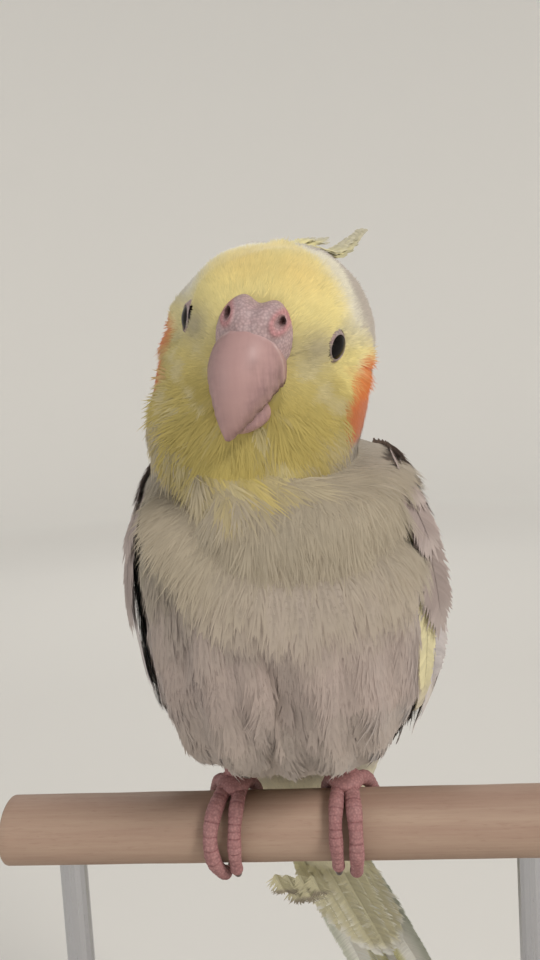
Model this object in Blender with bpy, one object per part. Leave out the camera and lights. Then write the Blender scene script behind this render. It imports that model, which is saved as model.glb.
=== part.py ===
"""A cockatiel at rest on a cut length of dowel, held by a plain display stand.

Metres, +Z up. The bird faces -Y and the dowel runs along X. The origin is the middle of the
base's underside. Every shape of the bird and the dowel is worked out round the dowel's middle,
which is the empty named perch_centre.
"""

import math

import bmesh
import bpy
import numpy as np
from mathutils import Matrix

MM = 0.001
DEG = math.pi / 180

# Clear space that every piece keeps to its neighbour
GAP = 0.3 * MM
# A cutter of a curved piece is this much larger all round than the piece
CUT = 0.36 * MM

# The stand and the dowel
BASE_WIDTH = 124 * MM
BASE_DEPTH = 146 * MM
BASE_THICKNESS = 11 * MM
BASE_CORNER = 14 * MM
BASE_CORNER_STEPS = 6
BASE_CHAMFER = 1.2 * MM
ROD_RADIUS = 2.6 * MM
ROD_SIDES = 16
ROD_CHAMFER = 0.2 * MM
ROD_OFFSET = 44 * MM
ROD_HOLE_DEPTH = 4.2 * MM
DOWEL_RADIUS = 6.35 * MM
DOWEL_LENGTH = 112 * MM
DOWEL_CHAMFER = 0.5 * MM
DOWEL_SIDES = 32
PERCH_Y = -27 * MM
PERCH_Z = 172 * MM

# The body, from the far end of the tail's line up to the base of the neck. Each row is one
# cross-section: its front point (y, z), its back point (y, z) and its half width.
BODY_ROWS = MM * np.array([
    (66.5, -90.9, 73.5, -87.1, 11.0),
    (54.5, -68.9, 61.5, -65.1, 11.0),
    (42.5, -46.9, 49.5, -43.1, 11.0),
    (29.0, -26.0, 39.0, -20.0, 9.0),
    (21.0, -13.0, 37.0, -5.0, 14.0),
    (11.5, 1.5, 34.0, 12.0, 19.5),
    (1.5, 10.4, 31.0, 26.0, 22.5),
    (-11.0, 13.7, 28.0, 37.0, 24.3),
    (-22.0, 23.0, 25.5, 47.0, 25.3),
    (-28.5, 38.0, 22.0, 56.0, 25.3),
    (-30.0, 51.0, 17.5, 63.5, 23.8),
    (-28.5, 60.0, 13.0, 69.0, 21.5),
    (-26.0, 66.0, 10.0, 74.0, 19.5),
])
TAIL_ROOT = 3.0
NECK_BASE = 12.0
# Half the clear space between torso and neck, as a part of a row
NECK_STEP = 0.028
BODY_SQUARENESS = 2.25
BODY_SIDES = 32
BODY_RINGS = 24

# The rear of the bird swings towards +X below this height
SWING_HEIGHT = -12 * MM
SWING_SLOPE = 0.33
SWING_EASE = 9 * MM

# The head stands in its own frame: x to the bird's left, y to its back, z to its crown
HEAD_CENTRE = MM * np.array((2.0, -11.5, 91.0))
HEAD_YAW = -5 * DEG
HEAD_PITCH = 15 * DEG
HEAD_ROLL = 15 * DEG
# Rows of the head from the throat to the crown: height, half width, front, back
HEAD_ROWS = MM * np.array([
    (-16.0, 18.5, 18.9, 18.2),
    (-10.0, 18.3, 18.4, 18.7),
    (-4.0, 17.8, 18.2, 19.0),
    (2.0, 16.9, 18.6, 19.4),
    (7.0, 14.8, 17.4, 18.4),
    (11.0, 11.6, 14.2, 15.2),
    (14.0, 7.2, 9.2, 9.8),
    (15.3, 2.6, 3.2, 3.4),
])
HEAD_RINGS = 20
NECK_RINGS = 7
# How far the neck runs on in the torso's and the head's own direction before it bends, at most, and
# at most what share of the way between them
NECK_PULL = 10 * MM
NECK_PULL_SHARE = 0.7

# The eyes, and the bare ring of lids round each
EYE_RADIUS = 3.5 * MM
EYE_CENTRE = MM * np.array((9.3, -10.4, 2.6))
EYE_AXIS_FROM_FRONT = 62 * DEG
LID_SIDES = 6
LID_STEPS = 18
LID_RADIUS = 2.95 * MM
LID_THICKNESS = 0.55 * MM
LID_FORWARD = 2.0 * MM
ORBIT_RADIUS = 5.2 * MM
ORBIT_FORWARD = 7.6 * MM

BILL_SIDES = 18
BILL_DOME = 0.85
BILL_FLOOR_ARCH = 0.12
UPPER_BILL_RINGS = 15
LOWER_BILL_RINGS = 11
# Rows of the upper bill from its root to its tip: culmen (y, z), edge (y, z), half width
UPPER_BILL_ROWS = MM * np.array([
    (-13.5, 5.2, -11.5, -3.4, 5.2),
    (-19.0, 5.0, -16.6, -3.2, 5.7),
    (-23.0, 2.9, -19.0, -3.5, 5.4),
    (-25.6, -0.7, -20.6, -5.1, 4.5),
    (-26.5, -4.6, -22.0, -7.1, 3.2),
    (-26.0, -8.2, -23.1, -9.3, 1.8),
    (-24.6, -11.0, -24.0, -11.0, 0.45),
])
# Rows of the lower bill from its root to its edge: top (y, z), chin (y, z), half width
LOWER_BILL_ROWS = MM * np.array([
    (-11.0, -4.6, -10.5, -9.0, 4.6),
    (-15.5, -4.8, -14.4, -10.2, 4.8),
    (-18.6, -5.6, -17.2, -11.1, 4.2),
    (-20.8, -7.5, -19.6, -11.2, 2.9),
    (-21.8, -8.9, -21.2, -10.8, 1.5),
])

# The cere: two lobes with a dip between them, seen from the front, round a middle point
CERE_MIDDLE = MM * np.array((0.0, 2.6))
CERE_HALF_WIDTH = 6.2 * MM
CERE_HALF_HEIGHT = 6.4 * MM
CERE_DIP = 1.5 * MM
CERE_DIP_WIDTH = 0.3
CERE_SWEEP = 0.32
CERE_FLAT_FRONT = 0.06
CERE_RINGS = 8
CERE_SIDES = 28
CERE_BACK = -13.0 * MM
CERE_FRONT = -21.4 * MM
NOSTRIL = MM * np.array((3.9, -21.3, 5.7))
NOSTRIL_RADII = MM * np.array((0.8, 1.7, 1.15))

# Each leg: the foot's middle over the dowel, and its four toes
FOOT_X = {"left": 10.2 * MM, "right": -11.2 * MM}
SHANK_RADIUS = 2.0 * MM
SHANK_SIDES = 14
SHANK_TOP = MM * np.array((4.6, 17.5))
PAD_RADII = MM * np.array((3.3, 4.0, 1.9))
TOE_SIDES = 9
TOE_RINGS = 10
TOE_TAPER = 0.22
TOE_SWELLING = 0.05
# A toe's name, the angles round the dowel from its root to its end (90 is the top, 0 the front),
# its radius, and how far outwards it lies at its root, its middle and its end
TOES = {
    "left": (
        ("inner_front", 96, -38, 1.42, (-1.2, -2.4, -2.2)),
        ("outer_front", 96, -62, 1.52, (0.8, 1.2, 1.0)),
        ("inner_back", 84, 186, 1.35, (-1.0, -3.4, -4.4)),
        ("outer_back", 84, 214, 1.45, (0.8, 5.0, 6.2)),
    ),
    "right": (
        ("inner_front", 96, -44, 1.42, (-1.6, -0.6, -0.4)),
        ("outer_front", 96, -66, 1.55, (1.0, 3.9, 1.9)),
        ("inner_back", 84, 188, 1.35, (-1.0, -3.0, -4.0)),
        ("outer_back", 84, 212, 1.45, (0.8, 4.6, 5.8)),
    ),
}
CLAW_SIDES = 7
CLAW_RINGS = 6
CLAW_LENGTH = 5.6 * MM
CLAW_RADIUS = 0.85 * MM
CLAW_ARCH = 0.5 * MM
CLAW_TIP_RADIUS = 0.14 * MM

# A vane's outline: shares of its length from root to tip, and of its full half width there
ROUNDED = ((0.0, 0.7), (0.5, 1.0), (0.85, 0.78), (1.0, 0.2))
LONG = ((0.0, 0.65), (0.35, 1.0), (0.72, 0.95), (0.92, 0.62), (1.0, 0.12))
POINTED = ((0.0, 0.7), (0.2, 0.95), (0.45, 1.0), (0.7, 0.84), (0.88, 0.5), (1.0, 0.08))
CURLED = ((0.0, 0.6), (0.25, 0.9), (0.5, 1.0), (0.7, 0.9), (0.87, 0.6), (1.0, 0.12))

VANE_THICKNESS = 0.52 * MM
VANE_TIP_THICKNESS = 0.22 * MM

# The arm and hand of the folded wing, which its feathers grow from. Each row is a place along
# the body, the angles round from the breast where it begins and ends, and its thickness in mm.
WING_ROWS = np.array([
    (6.2, 92, 160, 1.8),
    (7.0, 88, 166, 2.6),
    (8.0, 84, 168, 3.8),
    (9.0, 81, 168, 5.0),
    (9.8, 80, 166, 5.5),
    (10.7, 82, 160, 4.8),
    (11.4, 88, 150, 2.6),
])
WING_CLEAR = 0.7 * MM
WING_RINGS = 8
WING_COLUMNS = 6
WING_EDGE_SHARE = 0.3
# Each vane is tilted so that its front edge lies over the feather before it, except along the
# wing's front, where the vanes turn in towards the breast: where that begins and ends, and by how
# much it turns them
WING_TILT = 14 * DEG
WING_TUCK = 52 * DEG
TUCK_ANGLES = (74, 94)

# The tiers of the folded wing. Each is a count, a half width in mm, an outline, and the roots
# and tips of its first and last feather: place along the body, angle round it, height over it.
WING_TIERS = (
    # Primaries
    (5, 3.4, POINTED, (7.0, 92, 2.1), (6.6, 140, 2.4), (1.9, 146, 2.2), (2.7, 162, 3.2)),
    # Secondaries
    (6, 4.7, LONG, (8.6, 79, 3.2), (8.0, 147, 3.2), (5.7, 83, 3.3), (4.6, 148, 4.4)),
    # Tertials
    (2, 4.8, LONG, (8.6, 156, 4.0), (8.4, 169, 4.0), (4.9, 155, 4.9), (4.7, 165, 5.2)),
    # Greater coverts
    (6, 4.7, ROUNDED, (9.6, 78, 3.8), (9.2, 148, 4.4), (7.4, 79, 4.4), (6.8, 150, 5.6)),
    # Median coverts
    (5, 5.2, ROUNDED, (10.8, 79, 4.0), (10.4, 142, 4.8), (8.8, 78, 5.2), (8.4, 146, 6.5)),
    # Scapulars
    (3, 5.4, ROUNDED, (10.9, 136, 3.6), (10.9, 166, 3.4), (8.2, 144, 6.6), (7.4, 168, 5.8)),
)
# Neither wing comes nearer than this to the middle of the back
MIDLINE_CLEAR = 0.5 * MM

# The tail, along its own straight axis from its root
TAIL_AXIS = np.array((0.0, 0.479, -0.878))
TAIL_BACK = np.array((0.0, 0.878, 0.479))
TAIL_START = MM * np.array((0.0, 34.0, -23.0))
# How far the tail sinks below its straight axis, per square of the distance along it
TAIL_DROOP = 0.3
# The fleshy root that holds the feathers, from the torso's end on, as places along the body,
# and how far it shrinks inwards by its end
TAIL_CORE = (TAIL_ROOT - 0.017, 2.2)
TAIL_CORE_SHRINK = 0.9 * MM
TAIL_CORE_RINGS = 5
# The six pairs of tail feathers, the middle pair first: length, half width, height in the stack
# of the feather of either side, distance of its root from the middle, and its splay
TAIL_PAIRS = (
    (147 * MM, 5.2 * MM, (2.1 * MM, 1.3 * MM), 0.9 * MM, 0.5 * DEG),
    (128 * MM, 4.9 * MM, (0.5 * MM, 0.5 * MM), 5.3 * MM, 0.6 * DEG),
    (112 * MM, 4.7 * MM, (-0.3 * MM, -0.3 * MM), 5.2 * MM, 1.2 * DEG),
    (98 * MM, 4.5 * MM, (-1.1 * MM, -1.1 * MM), 5.1 * MM, 1.8 * DEG),
    (86 * MM, 4.4 * MM, (-1.9 * MM, -1.9 * MM), 5.0 * MM, 2.4 * DEG),
    (75 * MM, 4.3 * MM, (-2.7 * MM, -2.7 * MM), 4.9 * MM, 3.0 * DEG),
)
# The short coverts over and under the tail's root, from the middle out: length, place across
UPPER_TAIL_COVERTS = ((38 * MM, 1.8 * MM), (30 * MM, 4.2 * MM))
UNDER_TAIL_COVERTS = ((46 * MM, 2.2 * MM), (40 * MM, 5.2 * MM), (32 * MM, 7.2 * MM))
TAIL_COVERT_HALF_WIDTH = 3.0 * MM
# Heights of the coverts over the tail's middle plane, at their root and their tip
UPPER_TAIL_COVERT_HEIGHTS = (3.4 * MM, 3.1 * MM)
UNDER_TAIL_COVERT_HEIGHTS = (-3.4 * MM, -3.6 * MM)
# Where every vane of the tail begins, inside its root
TAIL_VANE_START = 2 * MM

# The crest: each feather runs back from the crown, dips behind it and turns up at its tip.
# Rows are points of the longest feather's middle line in the head's frame.
CREST_LINE = MM * np.array([
    (0.4, -4.5, 13.6),
    (1.2, 5.0, 14.9),
    (2.4, 14.0, 13.6),
    (4.4, 22.5, 12.4),
    (6.6, 30.0, 14.2),
    (8.9, 36.5, 17.6),
])
# For each crest feather: its share of the longest, its root's place across and along, and how
# far its tip stands over the longest's line, in mm
CREST_FEATHERS = (
    (1.0, 0.0, 0.0, 0.0),
    (0.93, -1.3, 0.8, 0.9),
    (0.88, 1.3, 1.0, 0.5),
    (0.76, -0.5, 3.2, 1.8),
    (0.68, 1.1, 4.2, 1.5),
    (0.56, -1.6, 5.0, 2.2),
    (0.46, 0.4, 6.4, 2.4),
)
CREST_HALF_WIDTH = 1.25 * MM

COLOURS = {
    "face_feather": ((0.80, 0.70, 0.33), 0.85),
    "neck_feather": ((0.70, 0.66, 0.50), 0.85),
    "body_feather": ((0.62, 0.56, 0.50), 0.85),
    "wing_feather": ((0.72, 0.65, 0.62), 0.8),
    "tail_feather": ((0.82, 0.80, 0.56), 0.75),
    "eye": ((0.015, 0.012, 0.012), 0.08),
    "cere": ((0.62, 0.46, 0.48), 0.6),
    "bill": ((0.68, 0.50, 0.49), 0.4),
    "foot_skin": ((0.66, 0.40, 0.41), 0.65),
    "claw": ((0.30, 0.24, 0.22), 0.4),
    "dowel": ((0.62, 0.47, 0.37), 0.6),
    "base": ((0.16, 0.10, 0.06), 0.45),
    "rod": ((0.62, 0.62, 0.63), 0.3),
}


def clear_scene():
    for obj in list(bpy.data.objects):
        bpy.data.objects.remove(obj, do_unlink=True)


def make_material(name):
    colour, roughness = COLOURS[name]
    material = bpy.data.materials.new(name)
    material.use_nodes = True
    shader = material.node_tree.nodes["Principled BSDF"]
    shader.inputs["Base Color"].default_value = (*colour, 1)
    shader.inputs["Roughness"].default_value = roughness
    shader.inputs["Metallic"].default_value = 1.0 if name == "rod" else 0.0
    return material


def make_object(name, shape, material=None):
    """Make a closed mesh, its faces turned outwards, from (points, faces)."""
    points, faces = shape
    mesh = bpy.data.meshes.new(name)
    mesh.from_pydata([tuple(point) for point in points], [], faces)
    work = bmesh.new()
    work.from_mesh(mesh)
    bmesh.ops.recalc_face_normals(work, faces=work.faces)
    work.to_mesh(mesh)
    work.free()
    obj = bpy.data.objects.new(name, mesh)
    bpy.context.scene.collection.objects.link(obj)
    obj.parent = bpy.data.objects["perch_centre"]
    if material:
        mesh.materials.append(bpy.data.materials[material])
    return obj


def keep_largest(mesh):
    """Drop every closed surface of a mesh but the one that holds the most."""
    work = bmesh.new()
    work.from_mesh(mesh)
    left = set(work.faces)
    shells = []
    while left:
        shell = {left.pop()}
        edge_of_shell = list(shell)
        while edge_of_shell:
            face = edge_of_shell.pop()
            for edge in face.edges:
                for other in edge.link_faces:
                    if other in left:
                        left.discard(other)
                        shell.add(other)
                        edge_of_shell.append(other)
        shells.append(shell)

    def volume(shell):
        total = 0.0
        for face in shell:
            corners = [vertex.co for vertex in face.verts]
            for second, third in zip(corners[1:], corners[2:]):
                total += corners[0].dot(second.cross(third))
        return total

    kept = max(shells, key=volume)
    for shell in shells:
        if shell is not kept:
            bmesh.ops.delete(work, geom=list(shell), context="FACES")
    loose = [vertex for vertex in work.verts if not vertex.link_faces]
    bmesh.ops.delete(work, geom=loose, context="VERTS")
    work.to_mesh(mesh)
    work.free()


def combine(obj, others, operation, solver="EXACT"):
    """Apply one Boolean of obj with a collection of others, and remove those."""
    group = bpy.data.collections.new("pieces")
    bpy.context.scene.collection.children.link(group)
    for other in others:
        bpy.context.scene.collection.objects.unlink(other)
        group.objects.link(other)
    modifier = obj.modifiers.new("combine", "BOOLEAN")
    modifier.operation = operation
    modifier.operand_type = "COLLECTION"
    modifier.collection = group
    modifier.solver = solver
    bpy.context.view_layer.update()
    graph = bpy.context.evaluated_depsgraph_get()
    mesh = bpy.data.meshes.new_from_object(obj.evaluated_get(graph))
    mesh.name = obj.name
    obj.modifiers.clear()
    obj.data = mesh
    for other in others:
        bpy.data.objects.remove(other, do_unlink=True)
    bpy.data.collections.remove(group)
    keep_largest(mesh)
    return obj


def curve_at(rows, place):
    """Read the smooth curve through equally spaced rows, going on straight past its ends."""
    last = len(rows) - 1
    if place <= 0:
        return rows[0] + place * (rows[1] - rows[0])
    if place >= last:
        return rows[last] + (place - last) * (rows[last] - rows[last - 1])
    index = min(int(place), last - 1)
    t = place - index
    here = rows[index]
    following = rows[index + 1]
    before = rows[index - 1] if index > 0 else 2 * here - following
    after = rows[index + 2] if index + 2 <= last else 2 * following - here
    slope = following - before
    bend = 2 * before - 5 * here + 4 * following - after
    twist = 3 * here - before - 3 * following + after
    return 0.5 * (2 * here + slope * t + bend * t**2 + twist * t**3)


def loft(rings):
    """Close a stack of rings into one skin, with a middle point at either end."""
    sides = len(rings[0])
    points = [point for ring in rings for point in ring]
    faces = []
    for row in range(len(rings) - 1):
        for i in range(sides):
            a = row * sides + i
            b = row * sides + (i + 1) % sides
            faces.append((a, b, b + sides, a + sides))
    for row in (0, len(rings) - 1):
        middle = len(points)
        points.append(np.mean(rings[row], axis=0))
        for i in range(sides):
            faces.append((row * sides + i, row * sides + (i + 1) % sides, middle))
    return points, faces


def vane(stations, half_width, outline):
    """A flat feather from its root to its tip, split alike on both faces.

    Stations gives the middle, the direction across and the outward direction at a share of the
    feather's length.
    """
    points = []
    faces = []
    for share, width in outline:
        middle, across, outward = stations(share)
        reach = across * half_width * width
        thickness = VANE_THICKNESS + (VANE_TIP_THICKNESS - VANE_THICKNESS) * share**3
        rise = outward * thickness / 2
        points += [middle - reach + rise, middle + reach + rise]
        points += [middle + reach - rise, middle - reach - rise]
    for row in range(len(outline) - 1):
        a, b, c, d = (4 * row + corner for corner in range(4))
        e, f, g, h = a + 4, b + 4, c + 4, d + 4
        faces += [(a, b, f), (a, f, e), (d, g, c), (d, h, g)]
        faces += [(b, c, g), (b, g, f), (d, a, e), (d, e, h)]
    faces += [(0, 2, 1), (0, 3, 2)]
    end = len(points) - 4
    faces += [(end, end + 1, end + 2), (end, end + 2, end + 3)]
    return points, faces


def slab(outer, inner):
    """Close two equal grids of points into one thin plate, split alike on both faces."""
    rows = len(outer)
    columns = len(outer[0])
    points = [point for grid in (outer, inner) for row in grid for point in row]
    half = rows * columns
    faces = []
    for row in range(rows - 1):
        for column in range(columns - 1):
            a = row * columns + column
            b, c, d = a + 1, a + columns + 1, a + columns
            for start in (0, half):
                faces.append((start + a, start + b, start + c))
                faces.append((start + a, start + c, start + d))
    rim = [column for column in range(columns)]
    rim += [row * columns + columns - 1 for row in range(1, rows)]
    rim += [(rows - 1) * columns + column for column in reversed(range(columns - 1))]
    rim += [row * columns for row in reversed(range(1, rows - 1))]
    for a, b in zip(rim, rim[1:] + rim[:1]):
        faces.append((a, b, b + half))
        faces.append((a, b + half, a + half))
    return points, faces


def tube(path, radii, sides):
    """Sweep a round section of changing radius along a path that lies mostly across X."""
    rings = []
    for i, point in enumerate(path):
        along = path[min(i + 1, len(path) - 1)] - path[max(i - 1, 0)]
        along = along / np.linalg.norm(along)
        across = np.array((1.0, 0.0, 0.0)) - along * along[0]
        across /= np.linalg.norm(across)
        up = np.cross(along, across)
        ring = []
        for k in range(sides):
            turn = 2 * math.pi * k / sides
            ring.append(point + radii[i] * (math.cos(turn) * across + math.sin(turn) * up))
        rings.append(ring)
    return loft(rings)


def ball(centre, radii, sides=16, rings=9):
    """A closed ellipsoid with its poles along Z."""
    rows = []
    for row in range(1, rings):
        polar = math.pi * row / rings
        ring = []
        for k in range(sides):
            turn = 2 * math.pi * k / sides
            unit = (
                math.sin(polar) * math.cos(turn),
                math.sin(polar) * math.sin(turn),
                -math.cos(polar),
            )
            ring.append(centre + radii * np.array(unit))
        rows.append(ring)
    points, faces = loft(rows)
    points[-2] = centre - radii * np.array((0, 0, 1))
    points[-1] = centre + radii * np.array((0, 0, 1))
    return points, faces


def superellipse(turn, squareness):
    """Sine and cosine of a turn, on a rounded square."""
    sine = math.copysign(abs(math.sin(turn)) ** (2 / squareness), math.sin(turn))
    cosine = math.copysign(abs(math.cos(turn)) ** (2 / squareness), math.cos(turn))
    return sine, cosine


def swung(point):
    """Move a point of the rear towards +X, easing in below the swing height."""
    drop = SWING_HEIGHT - point[2]
    eased = 0.5 * (drop + math.sqrt(drop * drop + SWING_EASE**2))
    return np.array((point[0] + SWING_SLOPE * eased, point[1], point[2]))


def body_point(place, turn, lift=0.0):
    """A point on the body, or lift outside it. Turn is 0 at the breast and 90 degrees at +X."""
    front_y, front_z, back_y, back_z, half_width = curve_at(BODY_ROWS, place)
    middle = np.array((0.0, front_y + back_y, front_z + back_z)) / 2
    backward = np.array((0.0, back_y - front_y, back_z - front_z))
    depth = np.linalg.norm(backward)
    sine, cosine = superellipse(turn, BODY_SQUARENESS)
    point = middle - backward / depth * cosine * (depth / 2 + lift)
    point[0] += sine * (half_width + lift)
    return point


def body_ring(place, lift=0.0):
    turns = [2 * math.pi * i / BODY_SIDES for i in range(BODY_SIDES)]
    return [swung(body_point(place, turn, lift)) for turn in turns]


def head_turn():
    yaw = Matrix.Rotation(HEAD_YAW, 3, "Z")
    roll = Matrix.Rotation(HEAD_ROLL, 3, "Y")
    pitch = Matrix.Rotation(HEAD_PITCH, 3, "X")
    return np.array(yaw @ roll @ pitch)


def from_head(points):
    """Bring points of the head's frame to the perch's."""
    return [head_turn() @ point + HEAD_CENTRE for point in points]


def head_shape(name, shape, material=None):
    points, faces = shape
    return make_object(name, (from_head(points), faces), material)


def head_ring(place):
    height, half_width, front, back = curve_at(HEAD_ROWS, place)
    ring = []
    for i in range(BODY_SIDES):
        turn = 2 * math.pi * i / BODY_SIDES
        sine, cosine = superellipse(turn, BODY_SQUARENESS)
        reach = front if cosine > 0 else back
        ring.append(np.array((half_width * sine, -reach * cosine, height)))
    return ring


def build_torso():
    places = np.linspace(TAIL_ROOT, NECK_BASE - NECK_STEP, BODY_RINGS)
    torso = make_object("torso", loft([body_ring(p) for p in places]), "body_feather")
    sockets = [shank(side, CUT) for side in FOOT_X]
    return combine(torso, sockets, "DIFFERENCE")


def build_neck():
    """Bridge the torso's top and the head's underside, smooth into both."""
    low = np.array(body_ring(NECK_BASE + NECK_STEP))
    low_slope = np.array(body_ring(NECK_BASE + 0.1)) - np.array(body_ring(NECK_BASE))
    high = np.array(from_head([p - (0, 0, GAP) for p in head_ring(0)]))
    above = np.array(from_head(head_ring(0.1)))
    high_slope = above - np.array(from_head(head_ring(0)))
    pull = np.minimum(NECK_PULL, NECK_PULL_SHARE * np.linalg.norm(high - low, axis=1))[:, None]
    low_slope *= pull / np.linalg.norm(low_slope, axis=1)[:, None]
    high_slope *= pull / np.linalg.norm(high_slope, axis=1)[:, None]
    rings = []
    for t in np.linspace(0, 1, NECK_RINGS):
        rings.append(
            (2 * t**3 - 3 * t**2 + 1) * low
            + (t**3 - 2 * t**2 + t) * low_slope
            + (3 * t**2 - 2 * t**3) * high
            + (t**3 - t**2) * high_slope
        )
    return make_object("neck", loft(rings), "neck_feather")


def eye_axis(side):
    turn = EYE_AXIS_FROM_FRONT
    return np.array((side * math.sin(turn), -math.cos(turn), 0.0))


def eye_middle(side):
    return EYE_CENTRE * np.array((side, 1, 1))


def eye_sockets():
    radii = np.full(3, EYE_RADIUS + CUT)
    return [head_shape("socket", ball(eye_middle(side), radii)) for side in (1, -1)]


def lid_ring(side):
    """The bare ring of lids: a thin torus square to the eye's axis."""
    axis = eye_axis(side)
    level = np.cross((0, 0, 1), axis)
    middle = eye_middle(side) + axis * LID_FORWARD
    points = []
    faces = []
    for i in range(LID_STEPS):
        round_turn = 2 * math.pi * i / LID_STEPS
        outward = math.cos(round_turn) * level + math.sin(round_turn) * np.array((0, 0, 1))
        following = (i + 1) % LID_STEPS
        for k in range(LID_SIDES):
            turn = 2 * math.pi * k / LID_SIDES
            reach = LID_RADIUS + LID_THICKNESS * math.cos(turn)
            points.append(middle + reach * outward + LID_THICKNESS * math.sin(turn) * axis)
            beside = (k + 1) % LID_SIDES
            a = i * LID_SIDES + k
            b = i * LID_SIDES + beside
            c = following * LID_SIDES + beside
            d = following * LID_SIDES + k
            faces.append((a, b, c, d))
    return points, faces


def bill_loft(rows, grow, rings, flat_floor):
    """A bill half: domed rings from root to tip. Grow widens it all round for a clearance."""
    result = []
    for place in np.linspace(0, len(rows) - 1, rings):
        top_y, top_z, low_y, low_z, half_width = curve_at(rows, place)
        up = np.array((0.0, top_y - low_y, top_z - low_z))
        height = np.linalg.norm(up)
        up = up / height
        low = np.array((0.0, low_y, low_z)) - up * grow
        ring = []
        for i in range(BILL_SIDES):
            turn = 2 * math.pi * i / BILL_SIDES
            sine, cosine = math.sin(turn), math.cos(turn)
            level = 0.5 + 0.5 * sine
            if flat_floor:
                level = max(sine, 0) ** BILL_DOME
            rise = (height + 2 * grow) * level
            if flat_floor and sine < 0:
                rise = -BILL_FLOOR_ARCH * height * sine
            ring.append(low + up * rise + np.array(((half_width + grow) * cosine, 0, 0)))
        result.append(ring)
    return loft(result)


def upper_bill(name, grow, material=None):
    shape = bill_loft(UPPER_BILL_ROWS, grow, UPPER_BILL_RINGS, True)
    return head_shape(name, shape, material)


def lower_bill(name, grow, material=None):
    shape = bill_loft(LOWER_BILL_ROWS, grow, LOWER_BILL_RINGS, False)
    return head_shape(name, shape, material)


def cere_body(name, grow, material=None):
    """A heart-shaped pillow, seen from the front, that narrows and domes towards its front."""
    rings = []
    for share in np.linspace(0, 1, CERE_RINGS):
        scale = math.sqrt(max(1 - share**4, CERE_FLAT_FRONT))
        ring = []
        for i in range(CERE_SIDES):
            turn = 2 * math.pi * i / CERE_SIDES
            sine, cosine = math.sin(turn), math.cos(turn)
            dip = 0.0
            if sine > 0:
                dip = CERE_DIP * math.exp(-((cosine / CERE_DIP_WIDTH) ** 2))
            x = (CERE_HALF_WIDTH * scale + grow) * cosine
            z = CERE_MIDDLE[1] + (CERE_HALF_HEIGHT * scale + grow - dip) * sine
            y = CERE_BACK + share * (CERE_FRONT - CERE_BACK - grow)
            y += CERE_SWEEP * x * x / CERE_HALF_WIDTH
            ring.append(np.array((x, y, z)))
        rings.append(ring)
    return head_shape(name, loft(rings), material)


def nostril_cutter(side):
    return head_shape("nostril", ball(NOSTRIL * np.array((side, 1, 1)), NOSTRIL_RADII, 10, 7))


def build_head():
    rings = [head_ring(p) for p in np.linspace(0, len(HEAD_ROWS) - 1, HEAD_RINGS)]
    head = head_shape("head", loft(rings), "face_feather")
    orbits = []
    for side in (1, -1):
        dish = eye_middle(side) + eye_axis(side) * ORBIT_FORWARD
        orbits.append(head_shape("orbit", ball(dish, np.full(3, ORBIT_RADIUS))))
    combine(head, orbits, "DIFFERENCE")
    combine(head, [head_shape("lid", lid_ring(side)) for side in (1, -1)] + crest(), "UNION")
    cutters = [upper_bill("cut", CUT), lower_bill("cut", CUT), cere_body("cut", CUT)]
    return combine(head, cutters + eye_sockets(), "DIFFERENCE")


def crest():
    """The crest's feathers, rooted one behind another on the crown."""
    feathers = []
    for length, across, along, rise in CREST_FEATHERS:
        root_shift = MM * np.array((across, along, -0.12 * along))
        tip_shift = MM * np.array((0.45 * across, along, rise))

        def middle_at(share):
            middle = curve_at(CREST_LINE, share * length * (len(CREST_LINE) - 1))
            return middle + root_shift + share**2 * (tip_shift - root_shift)

        def stations(share):
            ahead = middle_at(share + 0.01) - middle_at(share - 0.01)
            ahead = ahead / np.linalg.norm(ahead)
            level = np.cross(ahead, (0, 0, 1))
            level = level / np.linalg.norm(level)
            return middle_at(share), level, np.cross(level, ahead)

        feathers.append(head_shape("crest", vane(stations, CREST_HALF_WIDTH, CURLED)))
    return feathers


def build_face():
    """The eyes, the cere with its nostrils, and the two halves of the bill."""
    for side, name in ((1, "eye_left"), (-1, "eye_right")):
        eyeball = ball(eye_middle(side), np.full(3, EYE_RADIUS))
        head_shape(name, eyeball, "eye")
    cere = cere_body("cere", 0.0, "cere")
    cutters = [upper_bill("cut", CUT), nostril_cutter(1), nostril_cutter(-1)]
    combine(cere, cutters + eye_sockets(), "DIFFERENCE")
    upper_bill("bill_upper", 0.0, "bill")
    lower = lower_bill("bill_lower", 0.0, "bill")
    combine(lower, [upper_bill("cut", CUT)], "DIFFERENCE")


def shank(side, grow):
    """The bare shank from the foot up into the belly, widened by grow for its socket."""
    foot_x = FOOT_X[side]
    foot = np.array((foot_x, 0.5 * MM, DOWEL_RADIUS + 2.2 * MM))
    top = np.array((foot_x * 0.92, *SHANK_TOP))
    rise = (top - foot) / np.linalg.norm(top - foot)
    path = [foot, (foot + top) / 2, top + rise * grow]
    return make_object("shank", tube(path, [SHANK_RADIUS + grow] * 3, SHANK_SIDES))


def toe_path(foot_x, outward, toe):
    """Points and radii along a toe that wraps the dowel, with a slight swelling at each joint."""
    _, first, last, radius, offsets = toe
    radius *= MM
    rows = MM * np.array(offsets)
    path = []
    radii = []
    for share in np.linspace(0, 1, TOE_RINGS):
        angle = (first + (last - first) * share) * DEG
        swelling = TOE_SWELLING * math.cos(6 * math.pi * share)
        here = radius * (1.0 - TOE_TAPER * share + swelling)
        reach = DOWEL_RADIUS + GAP + here
        x = foot_x + outward * curve_at(rows, 2 * share)
        path.append(np.array((x, -reach * math.cos(angle), reach * math.sin(angle))))
        radii.append(here)
    return path, radii


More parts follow.
